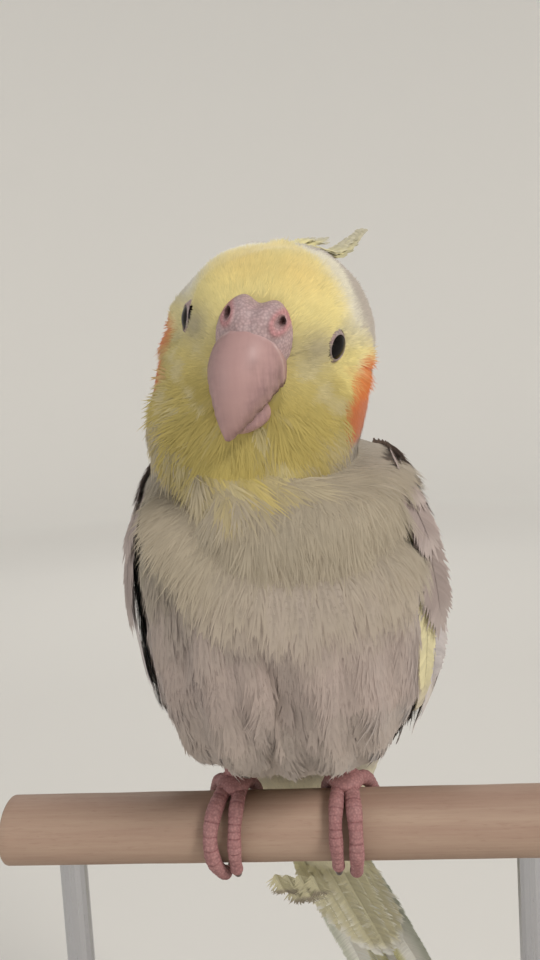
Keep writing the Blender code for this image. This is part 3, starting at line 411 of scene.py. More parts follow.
def sprout(hide, row, column, growth, tones, rng):
    """Grow one small feather at each place, as thin barbs that leave a short shaft line.

    Growth holds, for each feather, its length and the height of its tip over the skin, and
    for all of them the barbs' starts, sides, lengths and angles, their width and looseness.
    Returns points, faces by their first point, colours and maps, barb by barb.
    """
    root = hide.read(hide.points, row, column)
    normal = unit(hide.read(hide.normals, row, column))
    along = hide.read(hide.along, row, column)
    across = hide.read(hide.across, row, column)
    length, tip_height = growth["length"], growth["height"]
    lie = lie_of_plumage(root, normal, along)
    side = np.cross(normal, lie)
    count = len(root)
    stray = growth["stray"] * rng.standard_normal(count) + growth["swirl"] * ripple(root, 4.0)
    lie = unit(lie + side * stray[:, None])
    side = np.cross(normal, lie)
    # The rates at which the lie crosses the grid give the skin's own bend under the feather
    aa, ab, bb = (along * along).sum(-1), (along * across).sum(-1), (across * across).sum(-1)
    la, lb = (lie * along).sum(-1), (lie * across).sum(-1)
    whole = np.maximum(aa * bb - ab * ab, 1e-9)
    reach = 0.6 * length
    ahead_row = row + reach * (la * bb - lb * ab) / whole
    ahead_column = column + reach * (aa * lb - ab * la) / whole
    ahead = unit(hide.read(hide.normals, ahead_row, ahead_column))
    bend = ((ahead - normal) * lie).sum(-1) / reach
    bend = np.clip(bend, -0.02, 0.09)

    start, sign, share, angle = (growth["barbs"][key] for key in ("start", "sign", "share", "angle"))
    barbs = len(start)
    loose = growth["loose"]
    spread = (count, barbs)
    angle = angle + loose * 0.22 * rng.standard_normal(spread)
    share = share * (1 + 0.14 * rng.standard_normal(spread))
    wave = loose * 0.10 * rng.standard_normal(spread)
    raise_ = loose * 0.18 * rng.standard_normal(spread)
    roll = loose * (0.2 * rng.standard_normal(spread) + 0.15 * sign)
    steps = np.array(growth["steps"])
    u = steps[None, None, :]
    cosine, sine = np.cos(angle)[..., None], np.sin(angle)[..., None]
    run = length[:, None, None] * (start[None, :, None] + share[..., None] * (cosine * u + 0.22 * sine * u**2))
    out = length[:, None, None] * share[..., None] * (sign[None, :, None] * sine * (u - 0.3 * u**2) + wave[..., None] * u**2)
    far = run / length[:, None, None]
    height = tip_height[:, None, None] * np.clip(far, 0, 1.3) ** 0.75
    height = height - 0.5 * bend[:, None, None] * run**2 - growth["camber"] * out**2
    height = height + raise_[..., None] * u**1.5
    centre = root[:, None, None] + lie[:, None, None] * run[..., None]
    centre = centre + side[:, None, None] * out[..., None] + normal[:, None, None] * height[..., None]
    # Each barb is a flat blade that narrows to a point
    direction = unit(centre[:, :, -1] - centre[:, :, 0])
    face = unit(normal[:, None] * np.cos(roll)[..., None] + side[:, None] * np.sin(roll)[..., None])
    flat = unit(np.cross(face, direction))
    half = 0.5 * growth["width"] * np.array(growth["taper"][:-1])
    left = centre[:, :, :-1] - flat[:, :, None] * half[None, None, :, None]
    right = centre[:, :, :-1] + flat[:, :, None] * half[None, None, :, None]
    stations = len(steps)
    points = np.empty((count, barbs, 2 * stations - 1, 3))
    points[:, :, 0:-1:2] = left
    points[:, :, 1:-1:2] = right
    points[:, :, -1] = centre[:, :, -1]

    # Light falls on the coat as on one soft surface, with only a part of each barb's own turn
    under = normal[:, None, None] + lie[:, None, None] * (bend[:, None, None] * run)[..., None]
    facing = unit(under + growth["crisp"] * face[:, :, None])
    facing = np.concatenate((np.repeat(facing[:, :, :-1], 2, axis=2), facing[:, :, -1:]), axis=2)

    middle = root + lie * (0.55 * length)[:, None]
    colour = plumage(middle + normal * 0.5, tones)
    colour = colour * (1 + growth["tone"] * rng.standard_normal((count, 1)))
    colour = colour[:, None] * (1 + 0.7 * growth["tone"] * rng.standard_normal((count, barbs, 1)))
    corner_u = np.concatenate((np.repeat(steps[:-1], 2), steps[-1:]))
    # Each barb is painted darker towards its root, as painted shade deep in the coat
    shade = 0.86 + 0.14 * smooth(0.0, 0.55, corner_u)
    colours = np.clip(colour[:, :, None] * shade[None, None, :, None], 0, 1)
    home = np.stack((np.mod(column, SKIN_COLUMNS) / SKIN_COLUMNS, row / hide.rows), -1)
    home = np.clip(home, PATCH, 1 - PATCH)
    offset = np.empty((barbs, len(corner_u), 2))
    offset[..., 0] = np.linspace(-1, 1, barbs)[:, None]
    offset[..., 1] = 2 * corner_u - 1
    bake = home[:, None, None] + 0.5 * PATCH * offset
    vane = np.empty(points.shape[:3] + (2,))
    vane[..., 0] = corner_u
    vane[..., 1] = rng.random(count)[:, None, None]
    return Blades(points.reshape(-1, 2 * stations - 1, 3), colours, bake, vane, facing)


class Blades:
    """Many blades of one number of stations, ready to be joined into a mesh."""

    def __init__(self, points, colours, bake, vane, facing=None):
        corners = points.shape[1]
        self.points = points.reshape(-1, 3)
        self.colours = np.broadcast_to(colours, colours.shape).reshape(-1, 3)
        self.bake = bake.reshape(-1, 2)
        self.vane = vane.reshape(-1, 2)
        self.facing = None if facing is None else facing.reshape(-1, 3)
        first = np.arange(len(points))[:, None] * corners
        quads = [first + np.array((k, k + 2, k + 3, k + 1)) for k in range(0, corners - 3, 2)]
        self.quads = np.concatenate(quads) if quads else np.empty((0, 4), int)
        self.triangles = first + np.array((corners - 3, corners - 1, corners - 2))


def quill(stations, settle, length, half_width, outline, style, rng):
    """One large feather: a shaft, and close barbs that leave it on both sides.

    Stations gives the middle, the direction across and the outward direction at shares of the
    feather's length, and settle brings the points to the bird.
    """
    barbs, loose = style["barbs"], style["loose"]
    start = np.tile(np.linspace(0.03, 0.985, barbs), 2)
    sign = np.repeat((-1.0, 1.0), barbs)
    widths = np.array(outline)
    # Neighbouring barbs hang together, and the vane splits where a run of them leans apart
    lean = np.interp(start * 9 + 3 * sign, np.arange(-4, 14), rng.normal(0, 1, 18)) * 0.10 * loose
    full = half_width * np.interp(np.minimum(start + 0.04, 1), widths[:, 0], widths[:, 1])
    full = full * (1 + 0.05 * loose * rng.standard_normal(len(start)))
    side_share = np.where(sign * style.get("narrow", 0) > 0, 0.55, 1.0)
    full = full * side_share
    run = full * style["rake"] * (1 + lean) / length
    run = run + 0.35 * half_width / length * smooth(0.85, 1.0, start)
    u = np.array((0.0, 0.35, 0.7, 1.0))
    share = start[:, None] + run[:, None] * u**1.25
    lateral = sign[:, None] * full[:, None] * (1.1 * u - 0.1 * u**2)
    lateral = lateral + 0.12 * loose * half_width * rng.standard_normal((len(start), 1)) * u**2
    middle, across, up = stations(share)
    flat = lateral / half_width
    height = -style["camber"] * half_width * flat**2 + 0.05 * rng.standard_normal((len(start), 1)) * loose * u
    height = height + 0.02 * (start[:, None] * barbs % 2)
    centre = middle + across * lateral[..., None] + up * height[..., None]
    gap = length / barbs
    half = 0.5 * gap * style["cover"] * np.array((1.0, 0.95, 0.8, 0.0)) * np.ones((len(start), 1))
    direction = unit(np.gradient(centre, axis=1))
    edge = unit(np.cross(up, direction)) + 0.18 * up
    points = np.empty((len(start), 7, 3))
    points[:, 0:6:2] = (centre - edge * half[..., None])[:, :3]
    points[:, 1:6:2] = (centre + edge * half[..., None])[:, :3]
    points[:, 6] = centre[:, 3]
    corner = np.array((0, 0, 1, 1, 2, 2, 3))
    colour = style["tone"](share[:, corner], np.abs(flat)[:, corner] / side_share[:, None], sign[:, None])
    colour = colour * (1 + 0.05 * rng.standard_normal((len(start), 1, 1)))
    colour = colour * (1 + 0.05 * rng.standard_normal())
    bake = np.stack((share, 0.5 + 0.45 * flat), -1)[:, corner]
    vane = np.stack((np.broadcast_to(u[corner], bake.shape[:2]), np.full(bake.shape[:2], rng.random())), -1)
    vanes = Blades(settle(points), np.clip(colour, 0, 1), bake, vane)

    at = np.linspace(0.0, 0.96, 15)
    middle, across, up = stations(at)
    thick = style["shaft"] * (1 - 0.85 * at)[:, None]
    shaft = np.empty((1, 29, 3))
    ridge = middle + up * (0.12 + 0.3 * thick)
    shaft[0, 0:28:2] = (ridge - across * thick)[:14]
    shaft[0, 1:28:2] = (ridge + across * thick)[:14]
    shaft[0, 28] = ridge[14]
    corner = np.minimum(np.arange(29) // 2, 14)
    colour = style["tone"](at[corner], np.zeros(29), 1.0) * style["shaft_tone"]
    bake = np.stack((at[corner], np.full(29, 0.5)), -1)
    stem = Blades(settle(shaft), np.clip(colour, 0, 1), bake, bake)
    return [vanes, stem]


def cell_of(blades, index, columns, rows):
    """Give a feather's bake map a cell of its own in an even atlas."""
    column, row = index % columns, index // columns
    for part in blades:
        share = np.clip(part.bake, 0, 1.1) / 1.1
        part.bake = (np.array((column, row)) + 0.06 + 0.88 * share) / (columns, rows)
    return blades


def edged(centre, edge, tip, edge_from=0.55, tip_from=0.86, dark_inner=None):
    """Colours of a vane that fades to a pale edge and tip."""

    def tone(share, across, sign):
        colour = mix(centre, edge, smooth(edge_from, 1.0, across))
        if dark_inner is not None:
            colour = mix(colour, dark_inner, smooth(0.1, 0.7, across) * (np.asarray(sign) > 0))
        return mix(colour, tip, smooth(tip_from, 1.0, share))

    return tone


# A vane's outline: shares of its length from root to tip, and of its full half width there
ROUNDED = ((0.0, 0.55), (0.25, 0.85), (0.5, 1.0), (0.75, 0.96), (0.9, 0.72), (1.0, 0.3))
LONG = ((0.0, 0.5), (0.2, 0.85), (0.35, 1.0), (0.72, 0.97), (0.9, 0.7), (1.0, 0.25))
POINTED = ((0.0, 0.55), (0.2, 0.95), (0.45, 1.0), (0.7, 0.84), (0.88, 0.5), (1.0, 0.1))
CURLED = ((0.0, 0.5), (0.25, 0.9), (0.5, 1.0), (0.7, 0.9), (0.87, 0.6), (1.0, 0.15))

WING_TILT = 14 * DEG
# Along the wing's front the vanes turn in towards the breast by this much, between these angles
WING_TUCK = 40 * DEG
TUCK_ANGLES = (76, 110)
MIDLINE_CLEAR = 0.5
# The arm and hand of the folded wing: a place along the body, the angles round from the breast
# where it begins and ends, and its thickness
WING_ROWS = np.array([
    (6.2, 92, 160, 1.8),
    (7.0, 88, 166, 2.6),
    (8.0, 84, 168, 3.8),
    (9.0, 81, 168, 5.0),
    (9.8, 80, 166, 5.5),
    (10.7, 82, 160, 4.8),
    (11.4, 88, 150, 2.6),
])
WING_CLEAR = 0.7
WING_EDGE_SHARE = 0.3
# The tiers of the folded wing: a name, a count, a half width, an outline, and the roots and tips
# of its first and last feather: place along the body, angle round it, height over it
WING_TIERS = (
    ("lining", 4, 2.4, LONG, (10.9, 80, 1.2), (10.4, 86, 1.4), (7.6, 68, 1.4), (6.8, 76, 1.6)),
    ("edge", 3, 1.2, LONG, (9.8, 84, 1.8), (9.4, 88, 2.0), (6.4, 76, 2.2), (5.0, 84, 3.0)),
    ("primary", 9, 3.4, POINTED, (7.6, 86, 3.0), (6.6, 140, 2.4), (4.7, 102, 4.2), (2.5, 164, 3.2)),
    ("secondary", 10, 4.7, LONG, (8.8, 78, 3.0), (8.0, 147, 3.2), (5.4, 86, 5.4), (4.6, 148, 4.4)),
    ("tertial", 3, 4.8, LONG, (8.6, 156, 4.0), (8.4, 169, 4.0), (4.9, 155, 4.9), (4.7, 165, 5.2)),
    ("greater", 10, 4.7, ROUNDED, (9.8, 77, 2.8), (9.2, 148, 4.4), (7.4, 78, 3.3), (6.8, 150, 5.6)),
    ("median", 10, 4.4, ROUNDED, (11.0, 78, 2.8), (10.4, 142, 4.8), (8.8, 76, 4.0), (8.4, 146, 6.5)),
    ("lesser", 9, 3.6, ROUNDED, (11.8, 80, 2.0), (11.3, 138, 3.6), (10.0, 75, 4.1), (9.6, 140, 6.8)),
    ("shoulder", 8, 3.4, ROUNDED, (12.3, 88, 2.6), (12.0, 124, 3.6), (10.9, 80, 4.2), (10.6, 120, 5.4)),
    ("scapular", 5, 5.0, ROUNDED, (11.2, 128, 3.0), (11.0, 168, 3.2), (8.9, 130, 6.8), (7.4, 168, 5.8)),
)


def wing_stations(root, tip):
    root, tip = np.array(root, float), np.array(tip, float)

    def place_at(share, rise=0.0):
        spot = root + np.asarray(share)[..., None] * (tip - root)
        return body_point(spot[..., 0], spot[..., 1] * DEG, spot[..., 2] + rise)

    def stations(share):
        share = np.asarray(share, float)
        middle = place_at(share)
        ahead = unit(place_at(share + 0.01) - place_at(share - 0.01))
        outward = place_at(share, 1.0) - middle
        outward = unit(outward - ahead * (outward * ahead).sum(-1, keepdims=True))
        forward = np.cross(outward, ahead)
        forward = np.where(forward[..., 1:2] > 0, -forward, forward)
        turn = root[1] + share * (tip[1] - root[1])
        tilt = (WING_TILT - np.interp(turn, TUCK_ANGLES, (WING_TUCK, 0)))[..., None]
        across = np.cos(tilt) * forward + np.sin(tilt) * outward
        up = np.cos(tilt) * outward - np.sin(tilt) * forward
        return middle, across, up

    return stations


# How much closer to the body each wing is held, and how much further round its front edge lies
WING_HOLD = {1: 1.2, -1: 1.7}
WING_TURN = {1: 0, -1: 8}


def held(side, turn, height):
    """The angle and height of a place on a wing, with the wing held closer and further round."""
    turn = turn + WING_TURN[side] * (1 - smooth(84, 140, turn))
    return turn, height - np.minimum(WING_HOLD[side], 0.45 * height)


def wing_settle(side):
    def settle(points):
        points = np.array(points, float)
        points[..., 0] = np.maximum(points[..., 0], MIDLINE_CLEAR)
        return swung(points * (side, 1, 1))

    return settle


TAIL_AXIS = np.array((0.0, 0.479, -0.878))
TAIL_BACK = np.array((0.0, 0.878, 0.479))
TAIL_START = np.array((0.0, 34.0, -23.0))
TAIL_DROOP = 0.0003
TAIL_VANE_START = 2.0
# The six pairs of tail feathers, the middle pair first: length, half width, height in the stack
# of the feather of either side, distance of its root from the middle, and its splay
TAIL_PAIRS = (
    (147, 5.2, (2.1, 1.3), 0.9, 0.5 * DEG),
    (128, 4.9, (0.5, 0.5), 5.3, 0.6 * DEG),
    (112, 4.7, (-0.3, -0.3), 5.2, 1.2 * DEG),
    (98, 4.5, (-1.1, -1.1), 5.1, 1.8 * DEG),
    (86, 4.4, (-1.9, -1.9), 5.0, 2.4 * DEG),
    (75, 4.3, (-2.7, -2.7), 4.9, 3.0 * DEG),
)
UPPER_TAIL_COVERTS = ((38, 1.6), (34, 3.6), (28, 5.0), (24, 1.0), (20, 3.6))
UNDER_TAIL_COVERTS = ((46, 1.6), (43, 4.2), (38, 6.4), (32, 7.6), (30, 2.6), (24, 5.4))
VENT_PLUMES = ((8, 4.5), (11, 7.5), (12, 10.5), (8, 13.0))
TAIL_COVERT_HALF_WIDTH = 3.0


def tail_point(along, across, back):
    """A point of the tail by its distance along, across and behind the tail's axis."""
    along, across, back = np.broadcast_arrays(along, across, back)
    height = back - TAIL_DROOP * along * along
    points = TAIL_START + TAIL_AXIS * along[..., None] + TAIL_BACK * height[..., None]
    points[..., 0] += across
    return swung(points)


def tail_stations(side, length, root, tip):
    root, tip = np.array(root, float), np.array(tip, float)

    def stations(share):
        share = np.asarray(share, float)
        along = TAIL_VANE_START + share * (length - TAIL_VANE_START)
        spot = root + share[..., None] * (tip - root)
        middle = tail_point(along, side * spot[..., 0], spot[..., 1])
        level = unit(tail_point(along, side * spot[..., 0] + 1, spot[..., 1]) - middle)
        ahead = tail_point(along + 1, side * spot[..., 0], spot[..., 1]) - middle
        return middle, side * level, unit(np.cross(ahead, level))

    return stations


# The crest's longest feather in the head's frame, and each feather's share of it, its root's
# place across and along, and how far its tip stands over the longest's line
CREST_LINE = np.array([
    (0.4, -4.5, 13.6),
    (1.2, 5.0, 14.9),
    (2.4, 14.0, 13.6),
    (4.4, 22.5, 12.4),
    (6.6, 30.0, 14.2),
    (8.9, 36.5, 17.6),
])
CREST_FEATHERS = (
    (1.0, 0.0, 0.0, 0.0),
    (0.97, -0.8, 0.4, 0.5),
    (0.93, -1.3, 0.8, 0.9),
    (0.88, 1.3, 1.0, 0.5),
    (0.82, 0.4, 2.0, 1.4),
    (0.76, -0.5, 3.2, 1.8),
    (0.68, 1.1, 4.2, 1.5),
    (0.62, 1.8, 2.6, 0.6),
    (0.56, -1.6, 5.0, 2.2),
    (0.46, 0.4, 6.4, 2.4),
    (0.36, -0.9, 4.6, 1.6),
)
CREST_HALF_WIDTH = 1.25


def crest_stations(length, across, along, rise):
    root_shift = np.array((across, along, -0.12 * along))
    tip_shift = np.array((0.45 * across, along, rise))

    def middle_at(share):
        share = np.asarray(share, float)
        middle = curve_at(CREST_LINE, share * length * (len(CREST_LINE) - 1))
        return middle + root_shift + (share**2)[..., None] * (tip_shift - root_shift)

    def stations(share):
        ahead = unit(middle_at(share + 0.01) - middle_at(share - 0.01))
        level = unit(np.cross(ahead, (0, 0, 1)))
        return middle_at(share), level, np.cross(level, ahead)

    return stations


def to_world(points):
    return np.asarray(points) * MM + PERCH_MIDDLE


def new_object(name, mesh, material, slot, *nodes):
    """Put a mesh on the bird as one piece that stands for the nodes named."""
    obj = bpy.data.objects.new(name, mesh)
    bpy.context.scene.collection.objects.link(obj)
    for each in material if isinstance(material, (list, tuple)) else (material,):
        mesh.materials.append(each)
    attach(obj, "root")
    if nodes:
        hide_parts(*nodes)
    return obj


def raw_mesh(name, points, loops, starts):
    mesh = bpy.data.meshes.new(name)
    mesh.vertices.add(len(points))
    mesh.vertices.foreach_set("co", to_world(points).astype(np.float32).ravel())
    mesh.loops.add(len(loops))
    mesh.loops.foreach_set("vertex_index", loops.astype(np.int32))
    mesh.polygons.add(len(starts))
    mesh.polygons.foreach_set("loop_start", starts.astype(np.int32))
    mesh.polygons.foreach_set("use_smooth", np.ones(len(starts), bool))
    mesh.update(calc_edges=True)
    return mesh


def paint_mesh(mesh, colours):
    layer = mesh.color_attributes.new("pigment", "FLOAT_COLOR", "POINT")
    values = np.ones((len(mesh.vertices), 4), np.float32)
    values[:, :3] = colours
    layer.data.foreach_set("color", values.ravel())


def map_mesh(mesh, name, places, loops):
    layer = mesh.uv_layers.new(name=name)
    layer.data.foreach_set("uv", places[loops].astype(np.float32).ravel())


def blades_mesh(name, parts):
    """Join blades into one mesh with its colours and both of its maps."""
    points = np.concatenate([part.points for part in parts])
    offsets = np.cumsum([0] + [len(part.points) for part in parts[:-1]])
    quads = np.concatenate([part.quads + start for part, start in zip(parts, offsets)])
    triangles = np.concatenate([part.triangles + start for part, start in zip(parts, offsets)])
    loops = np.concatenate((quads.ravel(), triangles.ravel()))
    starts = np.concatenate((
        np.arange(len(quads)) * 4,
        len(quads) * 4 + np.arange(len(triangles)) * 3,
    ))
    mesh = raw_mesh(name, points, loops, starts)
    paint_mesh(mesh, np.concatenate([part.colours for part in parts]))
    map_mesh(mesh, "OFBake", np.concatenate([part.bake for part in parts]), loops)
    map_mesh(mesh, "vane", np.concatenate([part.vane for part in parts]), loops)
    if all(part.facing is not None for part in parts):
        facing = np.concatenate([part.facing for part in parts])
        mesh.normals_split_custom_set_from_vertices(facing.astype(np.float32))
    return mesh


def grid_mesh(name, grid, wrap=True, caps=(), colours=None):
    """A mesh over rows of points. Wrap joins each row's ends, and caps closes rows with a point."""
    rows, columns = grid.shape[:2]
    points = grid.reshape(-1, 3)
    width = columns if wrap else columns - 1
    row, column = np.meshgrid(np.arange(rows - 1), np.arange(width), indexing="ij")
    following = (column + 1) % columns
    corners = (
        row * columns + column,
        row * columns + following,
        (row + 1) * columns + following,
        (row + 1) * columns + column,
    )
    quads = np.stack(corners, -1).reshape(-1, 4)
    u = np.stack((column, column + 1, column + 1, column), -1).reshape(-1, 4) / width
    v = np.stack((row, row, row + 1, row + 1), -1).reshape(-1, 4) / (rows - 1)
    loops = [quads.ravel()]
    places = [np.stack((u.ravel(), v.ravel()), -1)]
    starts = [np.arange(len(quads)) * 4]
    used = quads.size
    for at in caps:
        middle = grid[at].mean(axis=0)
        index = len(points)
        points = np.vstack((points, middle))
        base = (at % rows) * columns
        ring = np.arange(columns)
        beside = (ring + 1) % columns
        order = (beside, ring) if at == 0 else (ring, beside)
        fan = np.stack((base + order[0], base + order[1], np.full(columns, index)), -1)
        loops.append(fan.ravel())
        share = np.stack((order[0], order[1], ring + 0.5), -1) / columns
        level = np.full_like(share, 0.0 if at == 0 else 1.0)
        places.append(np.stack((share.ravel(), level.ravel()), -1))
        starts.append(used + np.arange(columns) * 3)
        used += fan.size
    loops = np.concatenate(loops)
    mesh = raw_mesh(name, points, loops, np.concatenate(starts))
    layer = mesh.uv_layers.new(name="OFBake")
    layer.data.foreach_set("uv", np.concatenate(places).astype(np.float32).ravel())
    if colours is not None:
        flat = colours.reshape(-1, 3)
        extra = [flat[(at % rows) * columns:(at % rows) * columns + columns].mean(0) for at in caps]
        paint_mesh(mesh, np.vstack([flat] + [np.array(extra)] if extra else [flat]))
    return mesh


def tube_grid(path, radii, sides, reference=(1.0, 0.0, 0.0), flatten=1.0):
    """Rings of a round section along a path, the section's first side towards reference."""
    path = np.asarray(path, float)
    along = unit(np.gradient(path, axis=0))
    across = unit(np.asarray(reference, float) - along * (along @ np.asarray(reference))[:, None])
    up = np.cross(along, across)
    turns = np.linspace(0, 2 * math.pi, sides, endpoint=False)
    ring = np.cos(turns)[None, :, None] * across[:, None] + flatten * np.sin(turns)[None, :, None] * up[:, None]
    return path[:, None] + np.asarray(radii)[:, None, None] * ring


def add_node(tree, kind, inputs=None, **settings):
    """Add one shader node, with plain values or links for its inputs."""
    node = tree.nodes.new("ShaderNode" + kind)
    for key, value in settings.items():
        setattr(node, key, value)
    for key, value in (inputs or {}).items():
        if isinstance(value, bpy.types.NodeSocket):
            tree.links.new(value, node.inputs[key])
        else:
            node.inputs[key].default_value = value
    return node


def math_node(tree, operation, *values):
    node = add_node(tree, "Math", operation=operation)
    for index, value in enumerate(values):
        if isinstance(value, bpy.types.NodeSocket):
            tree.links.new(value, node.inputs[index])
        else:
            node.inputs[index].default_value = value
    return node.outputs[0]


def mix_node(tree, share, low, high, blend_type="MIX"):
    node = add_node(tree, "Mix", data_type="RGBA", blend_type=blend_type)
    for index, value in ((0, share), (6, low), (7, high)):
        if isinstance(value, bpy.types.NodeSocket):
            tree.links.new(value, node.inputs[index])
        elif index == 0:
            node.inputs[index].default_value = value
        else:
            node.inputs[index].default_value = (*value[:3], 1.0)
    return node.outputs[2]


def ramp_node(tree, value, low, high, to_low=0.0, to_high=1.0):
    node = add_node(tree, "MapRange", {0: value, 1: low, 2: high, 3: to_low, 4: to_high})
    return node.outputs[0]


def object_place(tree, scale=(1.0, 1.0, 1.0)):
    """The place on the object in millimetres."""
    place = add_node(tree, "TexCoord").outputs["Object"]
    stretch = tuple(1000.0 * value for value in scale)
    return add_node(tree, "VectorMath", {0: place, 1: stretch}, operation="MULTIPLY").outputs[0]


def noise_node(tree, place, scale, detail=2.0, roughness=0.5):
    inputs = {"Vector": place, "Scale": scale, "Detail": detail, "Roughness": roughness}
    return add_node(tree, "TexNoise", inputs).outputs["Fac"]


def new_group(name, inputs, outputs):
    """An empty node group. Inputs are (name, kind, default) and outputs (name, kind)."""
    group = bpy.data.node_groups.new(name, "ShaderNodeTree")
    for title, kind, default in inputs:
        socket = group.interface.new_socket(title, in_out="INPUT", socket_type="NodeSocket" + kind)
        socket.default_value = (*default, 1.0) if kind == "Color" else default
    for title, kind in outputs:
        group.interface.new_socket(title, in_out="OUTPUT", socket_type="NodeSocket" + kind)
    entry = group.nodes.new("NodeGroupInput")
    leave = group.nodes.new("NodeGroupOutput")
    return group, entry.outputs, leave.inputs


def barb_tint_group():
    """Pigment from the mesh, varied from feather to feather, with silky streaks along a barb."""
    if "Barb Tint" in bpy.data.node_groups:
        return bpy.data.node_groups["Barb Tint"]
    group, entry, leave = new_group(
        "Barb Tint",
        (("Variation", "Float", 0.12), ("Tip Light", "Float", 0.1), ("Mottle Scale", "Float", 0.35)),
        (("Color", "Color"), ("Height", "Float")),
    )
    pigment = add_node(group, "Attribute", attribute_name="pigment").outputs["Color"]
    vane = add_node(group, "UVMap", uv_map="vane").outputs["UV"]
    parts = add_node(group, "SeparateXYZ", {0: vane}).outputs
    place = object_place(group)
    mottle = noise_node(group, place, entry["Mottle Scale"], 3.0, 0.6)
    swing = math_node(group, "SUBTRACT", mottle, 0.5)
    each = math_node(group, "SUBTRACT", parts[1], 0.5)
    both = math_node(group, "MULTIPLY_ADD", each, 0.7, swing)
    gain = math_node(group, "MULTIPLY_ADD", both, entry["Variation"], 1.0)
    tip = math_node(group, "MULTIPLY", parts[0], entry["Tip Light"])
    gain = math_node(group, "ADD", gain, tip)
    scaled = add_node(group, "VectorMath", {0: pigment, "Scale": gain}, operation="SCALE").outputs[0]
    group.links.new(scaled, leave["Color"])
    streak = noise_node(group, place, 2.6, 2.0, 0.6)
    group.links.new(streak, leave["Height"])
    return group


def bare_skin_group():
    """Granular bare skin: fine pebbles, creases between them and blotches of blood under them."""
    if "Bare Skin" in bpy.data.node_groups:
        return bpy.data.node_groups["Bare Skin"]
    group, entry, leave = new_group(
        "Bare Skin",
        (
            ("Base", "Color", (0.5, 0.3, 0.3)),
            ("Flush", "Color", (0.6, 0.2, 0.2)),
            ("Pebble Scale", "Float", 3.0),
            ("Blotch Scale", "Float", 0.5),
        ),
        (("Color", "Color"), ("Roughness", "Float"), ("Height", "Float")),
    )
    place = object_place(group)
    pebble = add_node(group, "TexVoronoi", {"Vector": place, "Scale": entry["Pebble Scale"]})
    raised = math_node(group, "SUBTRACT", 1.0, pebble.outputs["Distance"])
    blotch = noise_node(group, place, entry["Blotch Scale"], 4.0, 0.6)
    share = ramp_node(group, blotch, 0.38, 0.68)
    colour = mix_node(group, share, entry["Base"], entry["Flush"])
    # The pebbles' tops are painted lighter and the creases between them darker, as painted light and shade
    light = ramp_node(group, raised, 0.3, 1.0, 0.72, 1.1)
    colour = add_node(group, "VectorMath", {0: colour, "Scale": light}, operation="SCALE").outputs[0]
    group.links.new(colour, leave["Color"])
    group.links.new(ramp_node(group, raised, 0.2, 1.0, 0.75, 0.5), leave["Roughness"])
    group.links.new(raised, leave["Height"])
    return group


def horn_group():
    """Growth bands, lengthwise streaks and fine scuffs of horn, along the object's Z."""
    if "Horn Growth" in bpy.data.node_groups:
        return bpy.data.node_groups["Horn Growth"]
    group, entry, leave = new_group(
        "Horn Growth",
        (
            ("Base", "Color", (0.5, 0.3, 0.3)),
            ("Edge", "Color", (0.6, 0.5, 0.5)),
            ("Band Scale", "Float", 0.7),
            ("Streak Scale", "Float", 0.5),
        ),
        (("Color", "Color"), ("Roughness", "Float"), ("Height", "Float")),
    )
    bands_place = object_place(group, (0.35, 0.5, 1.0))
    bands = noise_node(group, bands_place, entry["Band Scale"], 3.0, 0.55)
    streak_place = object_place(group, (3.0, 0.6, 0.35))
    streaks = noise_node(group, streak_place, entry["Streak Scale"], 4.0, 0.65)
    share = ramp_node(group, math_node(group, "MULTIPLY_ADD", streaks, 0.6, math_node(group, "MULTIPLY", bands, 0.4)), 0.36, 0.66)
    colour = mix_node(group, share, entry["Base"], entry["Edge"])
    group.links.new(colour, leave["Color"])
    group.links.new(ramp_node(group, streaks, 0.3, 0.8, 0.42, 0.62), leave["Roughness"])
    group.links.new(math_node(group, "MULTIPLY_ADD", streaks, 0.5, bands), leave["Height"])
    return group


def wood_group():
    """Grain that runs along the object's X: long streaks, pores and slow waves of colour."""
    if "Wood Grain" in bpy.data.node_groups:
        return bpy.data.node_groups["Wood Grain"]
    group, entry, leave = new_group(
        "Wood Grain",
        (
            ("Light", "Color", (0.6, 0.45, 0.3)),
            ("Dark", "Color", (0.3, 0.2, 0.1)),
            ("Grain Scale", "Float", 1.0),
            ("Smoothness", "Float", 0.5),
        ),
        (("Color", "Color"), ("Roughness", "Float"), ("Height", "Float")),
    )
    long_place = object_place(group, (0.035, 1.0, 1.0))
    slow = noise_node(group, long_place, math_node(group, "MULTIPLY", entry["Grain Scale"], 0.22), 3.0, 0.5)
    fine = noise_node(group, long_place, math_node(group, "MULTIPLY", entry["Grain Scale"], 1.6), 4.0, 0.7)
    pore_place = object_place(group, (0.12, 1.0, 1.0))
    pores = ramp_node(group, noise_node(group, pore_place, math_node(group, "MULTIPLY", entry["Grain Scale"], 3.4), 2.0), 0.6, 0.72)
    streak = math_node(group, "MULTIPLY_ADD", slow, 0.6, math_node(group, "MULTIPLY", fine, 0.4))
    share = ramp_node(group, streak, 0.36, 0.64)
    share = math_node(group, "MULTIPLY_ADD", pores, 0.35, share)
    colour = mix_node(group, math_node(group, "MINIMUM", share, 1.0), entry["Light"], entry["Dark"])
    group.links.new(colour, leave["Color"])
    rough = math_node(group, "MULTIPLY_ADD", fine, 0.25, entry["Smoothness"])
    group.links.new(math_node(group, "MULTIPLY_ADD", pores, 0.15, rough), leave["Roughness"])
    group.links.new(math_node(group, "SUBTRACT", fine, math_node(group, "MULTIPLY", pores, 0.6)), leave["Height"])
    return group


def new_material(name, **constants):
    """A material with its Principled shader's own constant values."""
    material = bpy.data.materials.new(name)
    material.use_nodes = True
    tree = material.node_tree
    shader = tree.nodes["Principled BSDF"]
    for key, value in constants.items():
        socket = shader.inputs[key.replace("_", " ")]
        socket.default_value = (*value, 1.0) if hasattr(value, "__len__") else value
    return material, tree, shader


